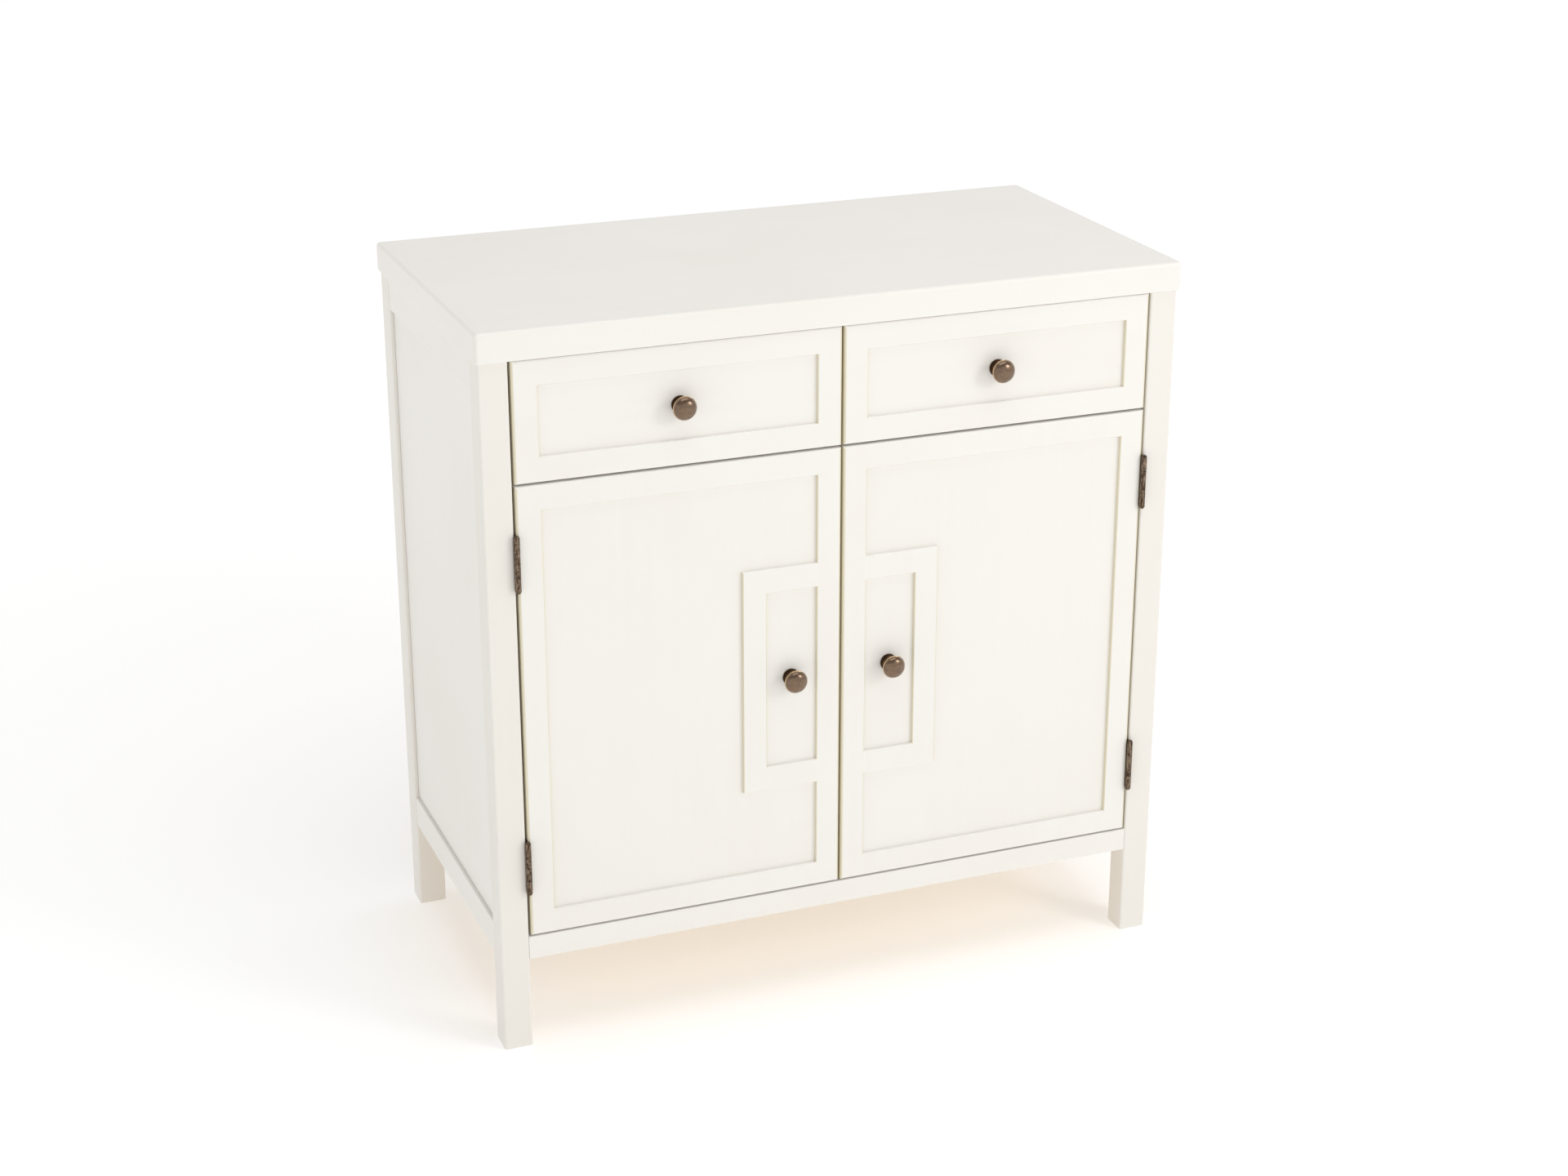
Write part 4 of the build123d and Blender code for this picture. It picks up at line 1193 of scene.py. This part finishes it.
@dataclass(frozen=True)
class Door:
    """One hinged door with its raised lock frame, knob and fittings."""

    side: Side
    paint: CreamPaint = CreamPaint()
    knob: TurnedKnob = TurnedKnob()

    def finish(self, dresser: Dresser) -> None:
        """Dress the door and turn its knob.

        Args:
            dresser: Who puts the finishes on.
        """
        name = f"{self.side.value}_door"
        wood = (f"{name}_frame", f"{name}_lock_frame", f"{name}_panel")
        dresser.dress_all(wood, self.paint, Grain.UP)
        dresser.dress_all((f"{name}_hinge_leaves", f"{name}_screws"), Bronze())
        dresser.dress_all((f"{name}_knob_screw", f"{name}_strike_plate"), ZincSteel())
        self.knob.turn(f"{name}_turned_knob", f"{name}_knob", name, AgedBrass(), dresser)


@dataclass(frozen=True)
class Drawer:
    """One drawer: a framed front, a box and a knob."""

    side: Side
    paint: CreamPaint = CreamPaint()
    wood: PlainWood = PlainWood()
    knob: TurnedKnob = TurnedKnob()

    def finish(self, dresser: Dresser) -> None:
        """Dress the drawer and turn its knob.

        Args:
            dresser: Who puts the finishes on.
        """
        name = f"{self.side.value}_drawer"
        dresser.dress_all((f"{name}_face_frame", f"{name}_front_panel"), self.paint, Grain.ACROSS)
        dresser.dress(f"{name}_sides", self.wood, Grain.DEEP)
        dresser.dress(f"{name}_back", self.wood, Grain.ACROSS)
        dresser.dress(f"{name}_bottom", InnerBoard(), Grain.ACROSS)
        dresser.dress(f"{name}_knob_screw", ZincSteel())
        self.knob.turn(f"{name}_turned_knob", f"{name}_knob", name, AgedBrass(), dresser)


# ---------------------------------------------------------------- studio
@dataclass(frozen=True)
class SoftBox:
    """A square white area light aimed at the cupboard."""

    name: str
    place: Point
    side: float
    watts: float

    def hang(self, aim: Vector) -> None:
        """Put the light up.

        Args:
            aim: The point that it is turned towards.
        """
        light = bpy.data.lights.new(self.name, "AREA")
        light.shape = "SQUARE"
        light.size = self.side
        light.energy = self.watts
        lamp = bpy.data.objects.new(self.name, light)
        lamp.location = self.place
        lamp.rotation_euler = (aim - Vector(self.place)).to_track_quat("-Z", "Y").to_euler()
        bpy.context.scene.collection.objects.link(lamp)


@dataclass(frozen=True)
class Studio:
    """A white studio: pale floor, even light, and a camera to the left of the front."""

    aim: Point = (0.028, 0.048, 0.400)
    distance: float = 3.222
    azimuth: float = math.radians(-21.47)
    elevation: float = math.radians(21.08)
    lens: float = 62.7         # millimetres, as the sensor's width
    sensor: float = 36.0
    sky: float = 0.47
    horizon: float = 1.0
    horizon_span: Span = (0.26, 0.55)
    floor_side: float = 40.0
    floor_colour: Colour = (0.94, 0.94, 0.935)
    floor_roughness: float = 0.78
    floor_cloud: Noise = Noise(3.0)
    cloud_dulling: float = 0.08
    floor_glow: float = 0.27   # at the feet; far_glow is the floor's edge
    far_glow: float = 0.46
    glow_span: Span = (0.5, 3.0)
    boxes: tuple[SoftBox, ...] = (
        SoftBox("key_light", (1.9, -2.5, 1.9), 0.95, 18.0),
        SoftBox("top_light", (0.1, -0.4, 3.2), 2.4, 27.5),
    )

    def build(self) -> None:
        """Lay the floor, hang the lights and stand the camera."""
        bpy.context.scene.view_settings.view_transform = "Standard"
        self.lay_floor()
        self.light_sky()
        for box in self.boxes:
            box.hang(Vector(self.aim))
        self.stand_camera()
        LOG.info("studio: floor, sky, %d soft boxes and the camera", len(self.boxes))

    def lay_floor(self) -> None:
        """Lay a pale floor at the feet."""
        half = self.floor_side / 2
        mesh = bpy.data.meshes.new("floor")
        corners = [(-half, -half, 0.0), (half, -half, 0.0), (half, half, 0.0), (-half, half, 0.0)]
        mesh.from_pydata(corners, [], [(0, 1, 2, 3)])
        floor = bpy.data.objects.new("floor", mesh)
        bpy.context.scene.collection.objects.link(floor)
        sheet = NodeSheet.named("studio_floor")
        cloud = sheet.noise(sheet.position(), self.floor_cloud)
        x, y, _ = sheet.parts(sheet.position())
        away = x.hypot(y).eased(*self.glow_span)
        mesh.materials.append(sheet.surface({
            "Base Color": self.floor_colour,
            "Roughness": self.floor_roughness + self.cloud_dulling * cloud,
            "Emission Color": sheet.tint(away, (self.floor_glow,) * 3, (self.far_glow,) * 3),
            "Emission Strength": 1.0,
        }))

    def light_sky(self) -> None:
        """Light the scene evenly from all round, brightest at the horizon."""
        world = bpy.data.worlds.new("studio")
        sheet = NodeSheet(world)
        height = abs(sheet.parts(sheet.node("ShaderNodeTexCoord", output="Generated"))[2])
        share = height.eased(*self.horizon_span)
        colour = sheet.tint(share, (self.horizon,) * 3, (self.sky,) * 3)
        light = sheet.node("ShaderNodeBackground", {}, {"Color": colour})
        sheet.node("ShaderNodeOutputWorld", {}, {"Surface": light})
        bpy.context.scene.world = world

    def stand_camera(self) -> None:
        """Stand the camera where it sees the front and the left side from above."""
        camera = bpy.data.objects.new("camera", bpy.data.cameras.new("camera"))
        camera.data.lens = self.lens
        camera.data.sensor_width = self.sensor
        level = math.cos(self.elevation)
        back = Vector((
            math.sin(self.azimuth) * level,
            -math.cos(self.azimuth) * level,
            math.sin(self.elevation),
        ))
        camera.location = Vector(self.aim) + back * self.distance
        camera.rotation_euler = (-back).to_track_quat("-Z", "Y").to_euler()
        bpy.context.scene.collection.objects.link(camera)
        bpy.context.scene.camera = camera


def main() -> None:
    """Build the studio, then finish the case, doors and drawers."""
    logging.basicConfig(level=logging.INFO, format="%(name)s: %(message)s")
    Studio().build()
    dresser = Dresser()
    Case().finish(dresser)
    for side in Side:
        Door(side).finish(dresser)
        Drawer(side).finish(dresser)


if __name__ == "__main__":
    main()
